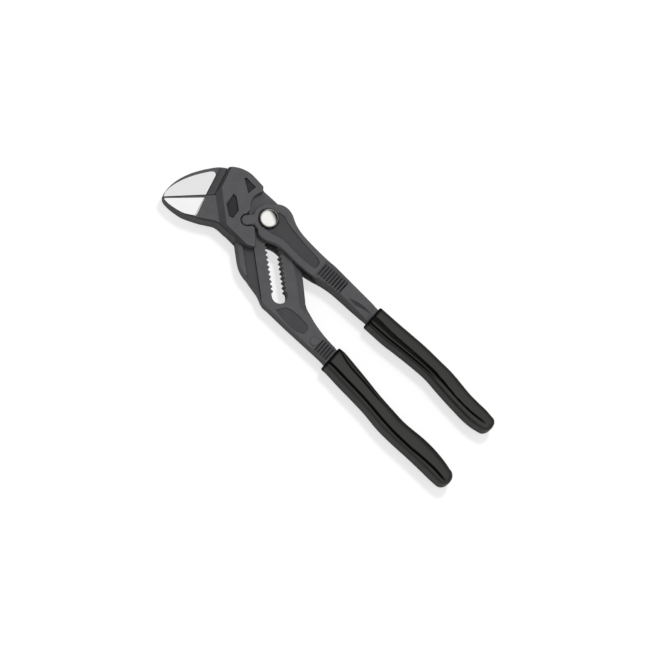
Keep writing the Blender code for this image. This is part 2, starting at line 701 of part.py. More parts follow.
def bar_channel(frame):
    """The space that the bar runs in, with the two guide ribs left standing."""
    left = -(BAR_FRONT + RUNNING_GAP)
    far = JAW_LENGTH * 2
    outline = [(left, -far), (far, -far), (far, far), (-far, far)] + face_line(-far, left, 0)
    channel = flat("bar_channel", outline, -HALF_CHANNEL, HALF_CHANNEL, frame, cutter=True)
    rib = [(-GROOVE_FRONT + RUNNING_GAP, GROOVE_TOP - RUNNING_GAP),
           (-GROOVE_FRONT + RUNNING_GAP, RIB_SHORT - CHEEK_TAIL),
           (-GROOVE_BACK - RUNNING_GAP, RIB_SHORT - CHEEK_TAIL),
           (-GROOVE_BACK - RUNNING_GAP, GROOVE_TOP - RUNNING_GAP)]
    return cut(channel, *sunk("guide_rib", rib, GROOVE_DEPTH, HALF_CHANNEL, frame))


def make_sliding_jaw(frame):
    """Lower jaw with two cheeks that straddle the bar and ribs that run in its grooves."""
    jaw = flat("sliding_jaw", cheek_outline(), -HALF_HEAD, HALF_HEAD, frame, edge=CHEEK_EDGE)
    combine(jaw, cheek_envelope(frame), 'INTERSECT')
    joined(jaw, lower_jaw(frame))
    hexagon = scaled(HEX_DIMPLE_SHARES, HEAD_WIDTH, GRIP_HEIGHT)
    triangle = scaled(TRI_DIMPLE_SHARES, HEAD_WIDTH, JAW_RISE)
    return cut(jaw, bar_channel(frame),
               *sunk("hex_dimple", shifted(hexagon, -BAR_FRONT, 0), DIMPLE_DEPTH, HALF_HEAD, frame),
               *sunk("tri_dimple", shifted(triangle, -BAR_FRONT, GRIP_HEIGHT), DIMPLE_DEPTH, HALF_HEAD,
                     frame))


# The lever

def lever_outline():
    """The lever from above, in the tool frame: ring, nose, head, arm and the core inside its grip."""
    angle = NOSE_ANGLE + BAR_ANGLE
    centre = (NOSE_REACH * cos(angle), NOSE_REACH * sin(angle))
    neck = asin(NOSE_RADIUS / RING_RADIUS)
    upper_core, lower_core = core_edges(lever_grip_stations())
    outline = smooth(scaled(LEVER_OUTER_SHARES, ARM_REACH, ARM_WIDTH), 2)[::-1]
    outline += arc((0, 0), RING_RADIUS, RING_TOP_ANGLE, angle - neck, 10)
    outline += arc(centre, NOSE_RADIUS, angle - pi / 2, angle + pi / 2, 10)
    outline += arc((0, 0), RING_RADIUS, angle + neck, RING_LOW_ANGLE, 3)
    outline += smooth(scaled(LEVER_UNDER_SHARES, ARM_REACH, ARM_WIDTH)[::-1], 2)
    return outline + lower_core + upper_core[::-1]


def lever_half(x):
    """Half the lever's thickness at a distance along the arm."""
    return HALF_HEAD - (HALF_HEAD - ARM_THICKNESS / 2) * between(LEVER_THICKNESS_SHARES, x / ARM_REACH)


def tapered(thing):
    """The piece with its heights thinned along the arm as the lever's thickness is."""
    bm = bmesh.new()
    bm.from_mesh(thing.data)
    for share, _ in LEVER_THICKNESS_SHARES[1:-1]:
        geometry = bm.verts[:] + bm.edges[:] + bm.faces[:]
        bmesh.ops.bisect_plane(bm, geom=geometry, dist=WELD, plane_co=(ARM_REACH * share, 0, 0),
                               plane_no=(1, 0, 0))
    for vert in bm.verts:
        vert.co.z *= lever_half(vert.co.x) / HALF_HEAD
    bm.to_mesh(thing.data)
    bm.free()
    return thing


def bar_sweep(frame):
    """What the bar sweeps between the lever's plates as it slides and as the lever turns."""
    contour = shifted(bar_back() + shank_inner(), 0, SLIDE)
    back = BAR_BACK + RUNNING_GAP
    corner = (back, -back * tan(OPEN_ANGLE / 2))
    far = JAW_LENGTH * 2
    opened = (corner[0] + far * sin(OPEN_ANGLE), corner[1] + far * cos(OPEN_ANGLE))
    wall = [p for p in beside(contour, RUNNING_GAP) if p[0] > back and p[1] < corner[1]]
    outline = [opened, (-far, opened[1]), (-far, -far), (wall[-1][0], -far)] + wall[::-1] + [corner]
    return flat("bar_sweep", outline, -HALF_CHANNEL, HALF_CHANNEL, frame, cutter=True)


def neck_bevels(tool):
    """Wedges that lean the arm's lower side down beside the grip behind a curved step, on both faces."""
    edge = -ARM_WIDTH
    wedges = []
    for name, side in (("neck_bevel_front", 1), ("neck_bevel_back", -1)):
        rings = []
        for x, y in smooth(scaled(NECK_BEVEL_SHARES, ARM_REACH, ARM_WIDTH), 2):
            top, floor = HALF_HEAD, lever_half(x) - NECK_BEVEL_STEP
            low = floor - (y - edge) * tan(NECK_BEVEL_SLOPE)
            rings.append([(x, y, side * floor), (x, edge, side * low), (x, edge, side * top), (x, y, side * top)])
        wedges.append(loft(name, rings, tool, cutter=True))
    return wedges


def make_lever(tool, frame):
    """The forked lever: two plates on the pin with their noses, and one arm."""
    lever = tapered(flat("lever_arm", lever_outline(), -HALF_HEAD, HALF_HEAD, tool, edge=ARM_EDGE))
    top = HALF_HEAD + OVERRUN
    disc_bore = [(0, -top), (DISC_BORE, -top), (DISC_BORE, 0), (0, 0)]
    neck_bore = [(0, -HALF_BAR), (NECK_BORE, -HALF_BAR), (NECK_BORE, top), (0, top)]
    button_bore = [(0, FLOOR_TOP), (BUTTON_BORE, FLOOR_TOP), (BUTTON_BORE, top), (0, top)]
    panel = tapered(flat("panel", scaled(PANEL_SHARES, PANEL_LENGTH, ARM_WIDTH), HALF_HEAD - PANEL_DEPTH, top,
                         tool, cutter=True))
    middle = -KNURL_OFFSET
    return cut(lever, bar_sweep(frame),
               spun("disc_bore", disc_bore, tool, ROUND_SIDES, cutter=True),
               spun("neck_bore", neck_bore, tool, NECK_SIDES, cutter=True),
               spun("button_bore", button_bore, tool, ROUND_SIDES, cutter=True), panel,
               *neck_bevels(tool),
               *groove_row("lever_groove", KNURL_START, KNURL_COUNT, middle, KNURL_HALF_LENGTH, tool, lever_half))


# The bolt, its button and its spring

def make_bolt(tool, frame):
    """Journal disc, toothed block and neck in one turned and milled piece."""
    side = tooth_line(-BLOCK_TEETH, BLOCK_TEETH, RUNNING_GAP)
    seat = -HALF_CHANNEL
    block = shifted(side + mirrored(side), SLOT_OFFSET, 0)
    bolt = flat("adjusting_bolt", block, seat - BAR_EDGE, -HALF_BAR + BITE, frame)
    disc = [(0, -HALF_HEAD), (DISC_RADIUS - BAR_EDGE, -HALF_HEAD), (DISC_RADIUS, -HALF_HEAD + BAR_EDGE),
            (DISC_RADIUS, seat), (0, seat)]
    neck = [(0, seat - BAR_EDGE), (NECK_RADIUS, seat - BAR_EDGE), (NECK_RADIUS, ROOF - RUNNING_GAP),
            (0, ROOF - RUNNING_GAP)]
    return joined(bolt, spun("disc", disc, tool, ROUND_SIDES), spun("neck", neck, tool, NECK_SIDES))


def make_button(tool):
    """A domed cap with a skirt, hollow below for the spring and the bolt's neck."""
    inside = BUTTON_RADIUS - BUTTON_WALL
    shoulder = SKIRT_FOOT + BUTTON_SIDE
    turns = [pi / 2 * i / DOME_STEPS for i in range(DOME_STEPS + 1)]
    dome = [(BUTTON_RADIUS * sin(a), shoulder + (BUTTON_TOP - shoulder) * cos(a)) for a in turns]
    profile = dome + [(BUTTON_RADIUS, SKIRT_FOOT), (inside, SKIRT_FOOT), (inside, ROOF), (0, ROOF)]
    return spun("push_button", profile, tool, ROUND_SIDES)


def make_spring(tool):
    """A short coil between the lever's floor and the button's roof."""
    radius = (NECK_RADIUS + BUTTON_RADIUS - BUTTON_WALL) / 2
    low = FLOOR_TOP + SPRING_SEAT + SPRING_WIRE / 2
    high = ROOF - SPRING_SEAT - SPRING_WIRE / 2
    curve = bpy.data.curves.new("button_spring", 'CURVE')
    curve.dimensions = '3D'
    curve.bevel_depth = SPRING_WIRE / 2
    curve.bevel_resolution = 1
    curve.use_fill_caps = True
    spline = curve.splines.new('POLY')
    count = SPRING_TURNS * SPRING_POINTS
    spline.points.add(count)
    for i, point in enumerate(spline.points):
        turn = 2 * pi * i / SPRING_POINTS
        point.co = (radius * cos(turn), radius * sin(turn), low + (high - low) * i / count, 1)
    print("least gap between the spring's turns:", (high - low) / SPRING_TURNS - SPRING_WIRE)
    coil = placed(curve, "spring_path", tool, cutter=True)
    spring = settled(placed(evaluated_mesh(coil), "button_spring", tool))
    bpy.data.objects.remove(coil)
    return spring


# The grips

def section(width, height, crease):
    """A grip's section as (across, up) points, domed on both faces, with a crease on each."""
    upper = [(width * s, height * t - (crease if i == CREASE_POINT else 0))
             for i, (s, t) in enumerate(GRIP_SECTION_SHARES)]
    lower = [(across, -up) for across, up in upper[1:]]
    return upper + [(-width, 0)] + lower[::-1]


def make_grip(name, stations, core_half, tool):
    """A dipped sleeve: lofted outside, with the steel core's space cut out of it."""
    x, centre, width = stations[0]
    rows = [(x - GRIP_LIP, centre, width - GRIP_LIP, GRIP_THICKNESS / 2 - GRIP_LIP, 0)]
    for x, centre, width in stations:
        height = GRIP_THICKNESS / 2 * min(1, width / GRIP_HALF_WIDTH) ** 0.5
        full = x < stations[0][0] + GRIP_CORE
        rows.append((x, centre, width, height, GRIP_CREASE if full else 0))
    rings = [[(x, centre + across, up) for across, up in section(width, height, crease)]
             for x, centre, width, height, crease in smooth(rows, 2)]
    upper, lower = core_edges(stations, GRIP_FIT)
    mouth = stations[0][0] - GRIP_LIP - OVERRUN
    end = upper[-1][0] + GRIP_FIT
    space = [(mouth, lower[0][1])] + lower + [(end, lower[-1][1]), (end, upper[-1][1])]
    space += upper[::-1] + [(mouth, upper[0][1])]
    half = core_half + GRIP_FIT
    return cut(loft(name, rings, tool), flat(name + "_core", space, -half, half, tool, cutter=True))


# Build

def finish(thing, look):
    """One material, and smooth shading up to the angle that counts as an edge."""
    thing.data.materials.clear()
    thing.data.materials.append(look)
    if thing.type == 'MESH':
        thing.data.polygons.foreach_set("use_smooth", [True] * len(thing.data.polygons))
        thing.data.set_sharp_from_angle(angle=SHARP_ANGLE)


def main():
    """Builds every piece in its frame."""
    tool = empty("tool_frame", location=(0, 0, HALF_HEAD))
    bar = empty("bar_frame", tool, angle=BAR_ANGLE)
    steel = material("black_phosphated_steel", (0.085, 0.083, 0.090), 0.55, 0.6)
    bright = material("chromed_button", (0.80, 0.79, 0.76), 0.15, 1.0)
    bolt_steel = material("hardened_bolt_steel", (0.30, 0.30, 0.31), 0.35, 1.0)
    spring_steel = material("spring_steel", (0.45, 0.45, 0.46), 0.3, 1.0)
    plastic = material("black_dip_plastic", (0.012, 0.012, 0.011), 0.35, 0.0)

    finish(make_slotted_arm(tool, bar), steel)
    finish(make_sliding_jaw(bar), steel)
    finish(make_lever(tool, bar), steel)
    finish(make_bolt(tool, bar), bolt_steel)
    finish(make_button(tool), bright)
    finish(make_spring(tool), spring_steel)
    finish(make_grip("slotted_arm_grip", slotted_grip_stations(), HALF_BAR, tool), plastic)
    finish(make_grip("lever_grip", lever_grip_stations(), ARM_THICKNESS / 2, tool), plastic)


for old in list(bpy.data.objects):
    bpy.data.objects.remove(old, do_unlink=True)
PARTS = fresh_collection("pliers_wrench")
CUTTERS = fresh_collection("cutters")
main()
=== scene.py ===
# The dressed pliers wrench: the forgings with eased edges and ground jaws, the chromed button, the
# turned bolt, the coil and the two dipped grips, lying on a plain white table.
# Metres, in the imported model's frame: the pin axis is the Z axis and the handles run along +X.

from math import cos, pi, radians, sin, sqrt

import bmesh
import bpy
from mathutils import Matrix, Vector


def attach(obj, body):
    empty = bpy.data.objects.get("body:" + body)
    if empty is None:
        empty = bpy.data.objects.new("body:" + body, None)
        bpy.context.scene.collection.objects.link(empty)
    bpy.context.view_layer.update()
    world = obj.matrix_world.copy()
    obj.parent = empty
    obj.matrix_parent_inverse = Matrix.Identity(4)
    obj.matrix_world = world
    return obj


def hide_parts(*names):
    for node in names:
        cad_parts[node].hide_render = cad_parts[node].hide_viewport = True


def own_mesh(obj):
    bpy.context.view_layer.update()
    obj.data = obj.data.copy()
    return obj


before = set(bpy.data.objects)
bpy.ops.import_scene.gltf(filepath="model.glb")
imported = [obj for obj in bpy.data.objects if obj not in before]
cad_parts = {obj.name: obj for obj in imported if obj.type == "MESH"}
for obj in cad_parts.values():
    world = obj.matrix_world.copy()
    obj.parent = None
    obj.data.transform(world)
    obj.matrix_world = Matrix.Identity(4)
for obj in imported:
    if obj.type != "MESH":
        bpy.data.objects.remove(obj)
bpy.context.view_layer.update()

# The photograph's view
VIEW_ELEVATION = radians(70)
VIEW_ROLL = radians(41)
VIEW_WIDTH = 0.29055
VIEW_ASIDE = 0.02512
VIEW_DOWN = 0.04747
VIEW_REACH = 50
LENS = 300
SENSOR = 36

VIEW_FORWARD = Vector((0, cos(VIEW_ELEVATION), -sin(VIEW_ELEVATION)))
LEVEL = Vector((1, 0, 0))
UPRIGHT = Vector((0, sin(VIEW_ELEVATION), cos(VIEW_ELEVATION)))
VIEW_RIGHT = LEVEL * cos(VIEW_ROLL) + UPRIGHT * sin(VIEW_ROLL)
VIEW_UP = UPRIGHT * cos(VIEW_ROLL) - LEVEL * sin(VIEW_ROLL)

# The room's plain level, and where glossy surfaces see it change: start, end, and the levels there
ROOM_LEVEL = 0.6
ROOM_DARK_WAY = Vector((0.35, 0.94, 0.0))
ROOM_SIDE = (0.40, 0.85, 1.0, 0.03)
ROOM_RISE = (0.15, 0.75, 0.2, 1.0)

# The table, and the lamp above it
TABLE_HALF_SIDE = 3.0
TABLE_DROP = 0.0002
TABLE_WHITE = (0.40, 0.40, 0.40)
TABLE_GLOW = 0.66
TABLE_MIRRORED = 0.12
LAMP_PLACE = Vector((-0.12, 0.40, 1.1))
LAMP_AIM = Vector((0.04, -0.01, 0))
LAMP_SIZE = 0.2
LAMP_POWER = 6.5

# The way that the arms point, and the forgings' sizes that the finish follows, as in the CAD
ALONG = Vector((1, 0, 0))
BAR_ANGLE = radians(47.8)
HALF_HEAD = 0.0060
HALF_BAR_SPACE = 0.003
BAR_FRONT = 0.0156
HEAD_WIDTH = 0.0249
GROUND_ANGLE = radians(55.1)
SLOT_OFFSET = 0.0006
KNURL_START = 0.0330
KNURL_PITCH = 0.00155
KNURL_COUNT = 9
SHANK_KNURL_START = 0.0540
SHANK_KNURL_COUNT = 5
BOSS_GAP = 0.0026
LABEL_MIDDLE = 0.0373
HEX_DIMPLE_SHARE = 0.0
TRI_DIMPLE_SHARE = 0.39

# Sizes of the grips and of the steel inside them, as in the CAD
HALF_BAR = 0.0028
ARM_HALF_THICKNESS = 0.0037
ARM_REACH = 0.0636
SHANK_REACH = 0.0617
HANDLE_DROP = 0.0286
LEVER_GRIP_OFFSET = 0.00065
LEVER_GRIP_LENGTH = 0.0732
SLOTTED_GRIP_LENGTH = 0.0764
GRIP_HALF_WIDTH = 0.0058
GRIP_HALF_HEIGHT = 0.0059
GRIP_BOW = 0.0077
GRIP_CORE = 0.0665
GRIP_WALL = 0.0019
GRIP_FIT = 0.0003
GRIP_LIP = 0.0008

# Sizes of the cap and the coil
BUTTON_RADIUS = 0.0043
BUTTON_BORE = 0.0037
BUTTON_FOOT = 0.0121
BUTTON_SHOULDER = 0.0129
BUTTON_ROOF = 0.0133
BUTTON_TOP = 0.0145
BUTTON_EDGE = 0.00015
COIL_RADIUS = 0.0027
COIL_LOW = 0.01
COIL_HIGH = 0.0129
COIL_TURNS = 3
COIL_WIRE = 0.0005

# Limits for joining points, and for telling short sides, flats, edges and hollows apart
WELD = 0.000005
SHORT_EDGE = 0.00003
SHORT_SIDE = 0.0003
FLAT_ANGLE = radians(1.0)
EDGE_ANGLE = radians(28)
FORGING_CREASE_ANGLE = radians(32)
SKIN_CREASE_ANGLE = radians(50)
NEARLY_FLAT = 0.97
HOLLOW_SHARE = 0.8
GROOVE_WALL = 0.5

# How wide the outer edges are eased, and how much the wide faces count in the shading beside them
EASED_EDGE = 0.00013
FLATS_WEIGHT = 100

# The ground faces' outlines, seen from above, in millimetres
MILLIMETRES_PER_METRE = 1000
UPPER_GROUND = ((-42.23, -24.21), (-28.29, -10.54), (-30.6, -0.82), (-30.99, -0.04), (-31.85, 0.46),
                (-32.83, 0.17), (-33.92, -0.92), (-35.25, -2.70), (-36.55, -4.57), (-37.80, -6.52),
                (-38.98, -8.59), (-40.08, -10.81), (-41.06, -13.18), (-41.93, -15.77), (-42.56, -18.67),
                (-42.66, -21.16))
LOWER_GROUND = ((-41.45, -24.16), (-37.88, -24.67), (-35.13, -24.53), (-32.54, -24.21), (-30.09, -23.7),
                (-27.82, -22.97), (-26.57, -22.39), (-25.75, -21.62), (-25.44, -20.72), (-25.56, -19.64),
                (-27.64, -11.73))

# The outlines of the fixed jaw's strip beside the cheek and of the lever's neck hollow, which is not cut:
# both get painted shade
JAW_STRIP = ((-28.3, -10.7), (-20.0, -8.0), (-24.0, 8.0), (-32.7, 8.0))
NECK_SHADE_OUTLINE = ((50.0, -3.0), (54.5, -3.3), (61.8, -2.45), (61.8, -1.4), (58.5, -1.05), (54.8, -1.35))

# How dark the painted shade is in each low place of the forgings, and how level a slope is that counts as
# one
JAW_STRIP_SHADE = 0.45
NECK_PAINTED_SHADE = 0.85
SLOTTED_ARM_SHADE = 0.45
SLIDING_JAW_SHADE = 0.95
LEVER_SHADE = 0.5
SLOPE_LOW = 0.5
SLOPE_HIGH = 0.95
SLOPE_SHADE = 0.65
RIDGE_SHADE = 0.35
GROOVE_SHADE = 1.05

# Grips, as in the CAD: distance along, how far the middle bows, and half width, each as a share
SLOTTED_GRIP_SHARES = ((0.008, 0.026, 1.03), (0.047, 0.031, 1.04), (0.141, 0.164, 1.007),
                       (0.246, 0.305, 0.945), (0.361, 0.478, 0.883), (0.476, 0.658, 0.909),
                       (0.581, 0.753, 0.888), (0.716, 0.753, 0.929), (0.812, 0.805, 0.914),
                       (0.898, 0.909, 0.85), (0.95, 0.987, 0.759), (1.0, 1.013, 0.0))
LEVER_GRIP_SHARES = ((0.012, 0.065, 0.94), (0.15, 0.082, 0.947), (0.25, 0.052, 0.92), (0.37, 0.025, 0.885),
                     (0.49, 0.057, 0.84), (0.59, 0.157, 0.886), (0.68, 0.286, 0.872), (0.755, 0.391, 0.84),
                     (0.835, 0.46, 0.843), (0.90, 0.469, 0.817), (0.955, 0.464, 0.707), (1.0, 0.435, 0.0))

# Creases on the grips: distance along, place across from -1 to 1, and share of the full depth
SLOTTED_CREASE = ((0.0, -0.62, 1.0), (0.12, -0.575, 1.0), (0.30, -0.525, 1.0), (0.50, -0.525, 1.0),
                  (0.60, -0.57, 1.0), (0.70, -0.62, 1.0), (0.80, -0.53, 1.0), (0.88, -0.45, 1.0),
                  (0.93, -0.47, 0.9), (0.965, -0.49, 0.5), (0.985, -0.50, 0.0))
CORNER_CREASE = ((0.0, 0.80, 0.7), (0.02, 0.72, 1.0), (0.045, 0.57, 1.0), (0.085, 0.43, 1.0),
                 (0.15, 0.39, 1.0), (0.235, 0.45, 1.0), (0.32, 0.49, 0.8), (0.42, 0.52, 0.0))
LEVER_CREASE = ((0.0, -0.76, 1.0), (0.40, -0.76, 1.0), (0.50, -0.74, 0.6), (0.58, -0.71, 0.0))

# The lever grip's long hollow: distance along, its two sides, and share of the full depth
LEVER_HOLLOW = ((0.0, -0.68, 0.0, 1.0), (0.08, -0.68, -0.02, 1.0), (0.15, -0.68, -0.09, 1.0),
                (0.235, -0.68, -0.155, 1.0), (0.32, -0.68, -0.20, 1.0), (0.46, -0.68, -0.22, 1.0),
                (0.545, -0.66, -0.25, 0.95), (0.62, -0.61, -0.30, 0.85), (0.70, -0.58, -0.35, 0.8),
                (0.79, -0.55, -0.30, 0.8), (0.88, -0.51, -0.22, 0.75), (0.925, -0.49, -0.18, 0.5),
                (0.96, -0.47, -0.17, 0.0))

# How deep and wide the creases, the hollow and the lip are, how dark their painted shade is, and how high
# on the section they start
CREASE_DEPTH = 0.0008
CREASE_HALF_WIDTH = 0.0009
NARROW_CREASE_DEPTH = 0.0005
NARROW_CREASE_HALF_WIDTH = 0.0007
CREASED_FROM = 0.3
FULL_SHADE = 1.4
HOLLOW_DEPTH = 0.0011
HOLLOW_TURN = 0.8
HOLLOW_SHADE = 0.75
HOLLOW_FADE = 0.35
LIP_SHADE = 0.9
LIP_FADE = 0.001

# The powers that round the grips' shoulders, and the width that is left for them
SQUARE_SHOULDER = 4.0
ROUND_SHOULDER = 3.0
SQUARE_WIDTH = 0.965

# How finely the grips, the cap and the coil are drawn
ALONG_STEPS = 11
LIP_STEPS = 6
END_STEPS = 14
SHOULDER_STEPS = 200
ACROSS_POINTS = 84
DOME_STEPS = 16
CAP_SIDES = 96
COIL_STEPS = 40
WIRE_SIDES = 12

# Colours of the finishes, in linear light; a mottle goes from one colour to another
WHITE = (1, 1, 1, 1)
BLACK_STEEL = (0.068, 0.068, 0.072)
BLACK_STEEL_MOTTLE = ((0.062, 0.062, 0.066), (0.074, 0.074, 0.078))
BLACK_STEEL_RUBBED = (0.090, 0.090, 0.095)
# Painted shade for the forgings' marked places and, darker, for their corners
BLACK_STEEL_PAINTED_SHADE = (0.024, 0.024, 0.026)
BLACK_STEEL_CORNER_SHADE = (0.008, 0.008, 0.009)
# The upper jaw's ground steel is painted darker than the lower jaw's: painted shade on a copy of the same
# steel
UPPER_GROUND_SHADED_GREYS = (0.80, 0.92)
LOWER_GROUND_GREYS = (0.97, 1.0)
CHROME = (0.90, 0.89, 0.86)
CHROME_MOTTLE = ((0.92, 0.91, 0.88), (0.84, 0.83, 0.80))
BOLT_STEEL = (0.30, 0.30, 0.31)
BOLT_STEEL_MOTTLE = ((0.25, 0.25, 0.26), (0.36, 0.36, 0.37))
WIRE_STEEL = (0.45, 0.45, 0.46)
WIRE_STEEL_MOTTLE = ((0.38, 0.38, 0.39), (0.52, 0.52, 0.53))
PLASTIC = (0.012, 0.012, 0.011)
PLASTIC_MOTTLE = ((0.013, 0.013, 0.012), (0.018, 0.018, 0.016))
# Painted shade for the grips' creases, hollow and lip
PLASTIC_PAINTED_SHADE = (0.002, 0.002, 0.002)

# Spans of a pattern's or a mark's level that a finish follows, and the reach of the painted shade in
# corners
WHOLE_SPAN = (0.0, 1.0)
MIDDLE_SPAN = (0.3, 0.7)
CORNER_SHADE_REACH = 0.0015

# The places of a Mix node's colour sockets
MIX_FIRST = 6
MIX_SECOND = 7
MIX_RESULT = 2


# Materials

def maths(tree, operation, first, second):
    """One number from two sockets of a node tree."""
    made = tree.nodes.new("ShaderNodeMath")
    made.operation = operation
    tree.links.new(first, made.inputs[0])
    tree.links.new(second, made.inputs[1])
    return made.outputs["Value"]


class Finish:
    """A material's node tree with short calls for the nodes that the finishes share."""

    def __init__(self, name, colour, metallic, roughness):
        self.material = bpy.data.materials.new(name)
        self.material.use_nodes = True
        self.nodes = self.material.node_tree.nodes
        self.links = self.material.node_tree.links
        self.shader = self.nodes["Principled BSDF"]
        self.set("Base Color", (*colour, 1))
        self.set("Metallic", metallic)
        self.set("Roughness", roughness)

    def set(self, socket, value):
        """A value that is the same all over the surface."""
        self.shader.inputs[socket].default_value = value

    def drive(self, socket, value):
        """A value that a pattern changes over the surface."""
        self.links.new(value, self.shader.inputs[socket])

    def node(self, kind, settings=(), **inputs):
        """A new node with its settings, and with its inputs set or linked."""
        made = self.nodes.new(kind)
        for key, value in dict(settings).items():
            setattr(made, key, value)
        for key, value in inputs.items():
            socket = made.inputs[key.replace("_", " ")]
            if isinstance(value, bpy.types.NodeSocket):
                self.links.new(value, socket)
            else:
                socket.default_value = value
        return made

    def coordinates(self, scale=(1, 1, 1), turn=0.0):
        """The piece's own coordinates, turned about the Z axis and scaled."""
        place = self.node("ShaderNodeTexCoord").outputs["Object"]
        mapping = self.node("ShaderNodeMapping", Vector=place, Scale=scale, Rotation=(0, 0, turn))
        return mapping.outputs["Vector"]

    def noise(self, place, scale, detail):
        """An even mottle over the surface."""
        made = self.node("ShaderNodeTexNoise", Vector=place, Scale=scale, Detail=detail)
        return made.outputs["Fac"]

    def mark(self, name):
        """The level of a mark that the mesh carries."""
        return self.node("ShaderNodeAttribute", {"attribute_name": name}).outputs["Fac"]

    def blended(self, share, first, second):
        """One colour that gives way to another as the share goes from 0 to 1."""
        mix = self.node("ShaderNodeMix", {"data_type": 'RGBA'})
        self.links.new(share, mix.inputs["Factor"])
        for socket, value in ((mix.inputs[MIX_FIRST], first), (mix.inputs[MIX_SECOND], second)):
            if isinstance(value, tuple):
                socket.default_value = (*value, 1)
            else:
                self.links.new(value, socket)
        return mix.outputs[MIX_RESULT]

    def ramp(self, level, span, first, last):
        """Colours or numbers from first to last while the level goes through the span."""
        colours = isinstance(first, tuple)
        low, high = WHOLE_SPAN if colours else (first, last)
        share = self.node("ShaderNodeMapRange", Value=level, From_Min=span[0], From_Max=span[1],
                          To_Min=low, To_Max=high).outputs["Result"]
        return self.blended(share, first, last) if colours else share

    def bump(self, *layers):
        """Height layers of (height, strength, distance), one on the other."""
        normal = None
        for height, strength, distance in layers:
            made = self.node("ShaderNodeBump", Height=height, Strength=strength, Distance=distance)
            if normal:
                self.links.new(normal, made.inputs["Normal"])
            normal = made.outputs["Normal"]
        self.links.new(normal, self.shader.inputs["Normal"])


def phosphated_steel():
    """Matt black phosphated forging: fine grain, faint cloudy patches and rubbed edges, with painted shade
    in its hollows, grooves, slopes and corners.
    """
    steel = Finish("phosphated_steel", BLACK_STEEL, metallic=0.0, roughness=0.5)
    place = steel.coordinates()
    cloud = steel.noise(place, scale=220, detail=3)
    grain = steel.noise(place, scale=3200, detail=2)
    pitting = steel.noise(place, scale=900, detail=3)
    # Painted shade: this mark darkens the hollow floors, the grooves, the slopes and the jaw's strip
    hollow_and_painted_shade = steel.mark("hollow_and_painted_shade")
    face = steel.ramp(cloud, MIDDLE_SPAN, *BLACK_STEEL_MOTTLE)
    edged = steel.blended(steel.mark("rubbed"), face, BLACK_STEEL_RUBBED)
    with_painted_shade = steel.blended(hollow_and_painted_shade, edged, BLACK_STEEL_PAINTED_SHADE)
    # Painted shade in corners: ambient occlusion darkens the colour where faces close in
    corners = steel.node("ShaderNodeAmbientOcclusion", {"samples": 8, "only_local": True},
                         Distance=CORNER_SHADE_REACH).outputs["AO"]
    clear = steel.ramp(corners, (0.4, 0.9), 0.0, 1.0)
    steel.drive("Base Color", steel.blended(clear, BLACK_STEEL_CORNER_SHADE, with_painted_shade))
    # Painted shade in reflection: the marked places reflect less
    steel.drive("Specular IOR Level", steel.ramp(hollow_and_painted_shade, WHOLE_SPAN, 0.5, 0.15))
    steel.drive("Roughness", steel.ramp(grain, MIDDLE_SPAN, 0.44, 0.56))
    steel.bump((grain, 0.2, 0.00005), (pitting, 0.12, 0.00008))
    return steel.material


def ground_steel(name, dull, shiny):
    """Bright ground steel with fine straight scratches across the jaw."""
    steel = Finish(name, (shiny, shiny, shiny), metallic=1.0, roughness=0.38)
    place = steel.coordinates(scale=(90, 2600, 400), turn=-(BAR_ANGLE + GROUND_ANGLE))
    scratch = steel.noise(place, scale=1, detail=4)
    steel.drive("Base Color", steel.ramp(scratch, (0.25, 0.75), (dull, dull, dull), (shiny, shiny, shiny)))
    steel.drive("Roughness", steel.ramp(scratch, MIDDLE_SPAN, 0.34, 0.48))
    steel.bump((scratch, 0.12, 0.00003))
    return steel.material


def chrome():
    """Polished chrome with faint handling marks."""
    bright = Finish("polished_chrome", CHROME, metallic=1.0, roughness=0.08)
    marks = bright.noise(bright.coordinates(), scale=500, detail=5)
    bright.drive("Roughness", bright.ramp(marks, (0.35, 0.75), 0.06, 0.16))
    bright.drive("Base Color", bright.ramp(marks, (0.3, 0.8), *CHROME_MOTTLE))
    return bright.material


def turned_steel():
    """Hardened bolt steel with the rings that the lathe leaves about the pin axis."""
    steel = Finish("turned_steel", BOLT_STEEL, metallic=1.0, roughness=0.35)
    place = steel.coordinates()
    grain = steel.noise(place, scale=800, detail=3)
    rings = steel.node("ShaderNodeTexWave", {"wave_type": 'RINGS', "rings_direction": 'Z'}, Vector=place,
                       Scale=1400, Distortion=0.6, Detail=1).outputs["Fac"]
    steel.drive("Base Color", steel.ramp(rings, WHOLE_SPAN, *BOLT_STEEL_MOTTLE))
    steel.drive("Roughness", steel.ramp(grain, MIDDLE_SPAN, 0.30, 0.42))
    steel.bump((rings, 0.25, 0.00003))
    return steel.material


def drawn_wire():
    """Drawn spring wire."""
    wire = Finish("drawn_wire", WIRE_STEEL, metallic=1.0, roughness=0.3)
    marks = wire.noise(wire.coordinates(scale=(1, 1, 6)), scale=1500, detail=3)
    wire.drive("Roughness", wire.ramp(marks, MIDDLE_SPAN, 0.25, 0.40))
    wire.drive("Base Color", wire.ramp(marks, MIDDLE_SPAN, *WIRE_STEEL_MOTTLE))
    return wire.material


def dipped_plastic():
    """Black dipped plastic: soft gloss, a slight flow and tiny pits, with painted shade in its creases, its
    hollow and at its lip.
    """
    plastic = Finish("dipped_plastic", PLASTIC, metallic=0.0, roughness=0.36)
    place = plastic.coordinates()
    flow = plastic.noise(place, scale=140, detail=2)
    pits = plastic.noise(place, scale=1500, detail=2)
    sunk = plastic.mark("sunk")
    skin_colour = plastic.ramp(flow, MIDDLE_SPAN, *PLASTIC_MOTTLE)
    # Painted shade: the sunk mark darkens the colour and dims the reflection
    plastic.drive("Base Color", plastic.blended(sunk, skin_colour, PLASTIC_PAINTED_SHADE))
    plastic.drive("Specular IOR Level", plastic.ramp(sunk, (0.0, 0.9), 0.5, 0.02))
    plastic.drive("Roughness", plastic.ramp(flow, MIDDLE_SPAN, 0.34, 0.44))
    plastic.bump((flow, 0.08, 0.0004), (pits, 0.05, 0.00005))
    return plastic.material


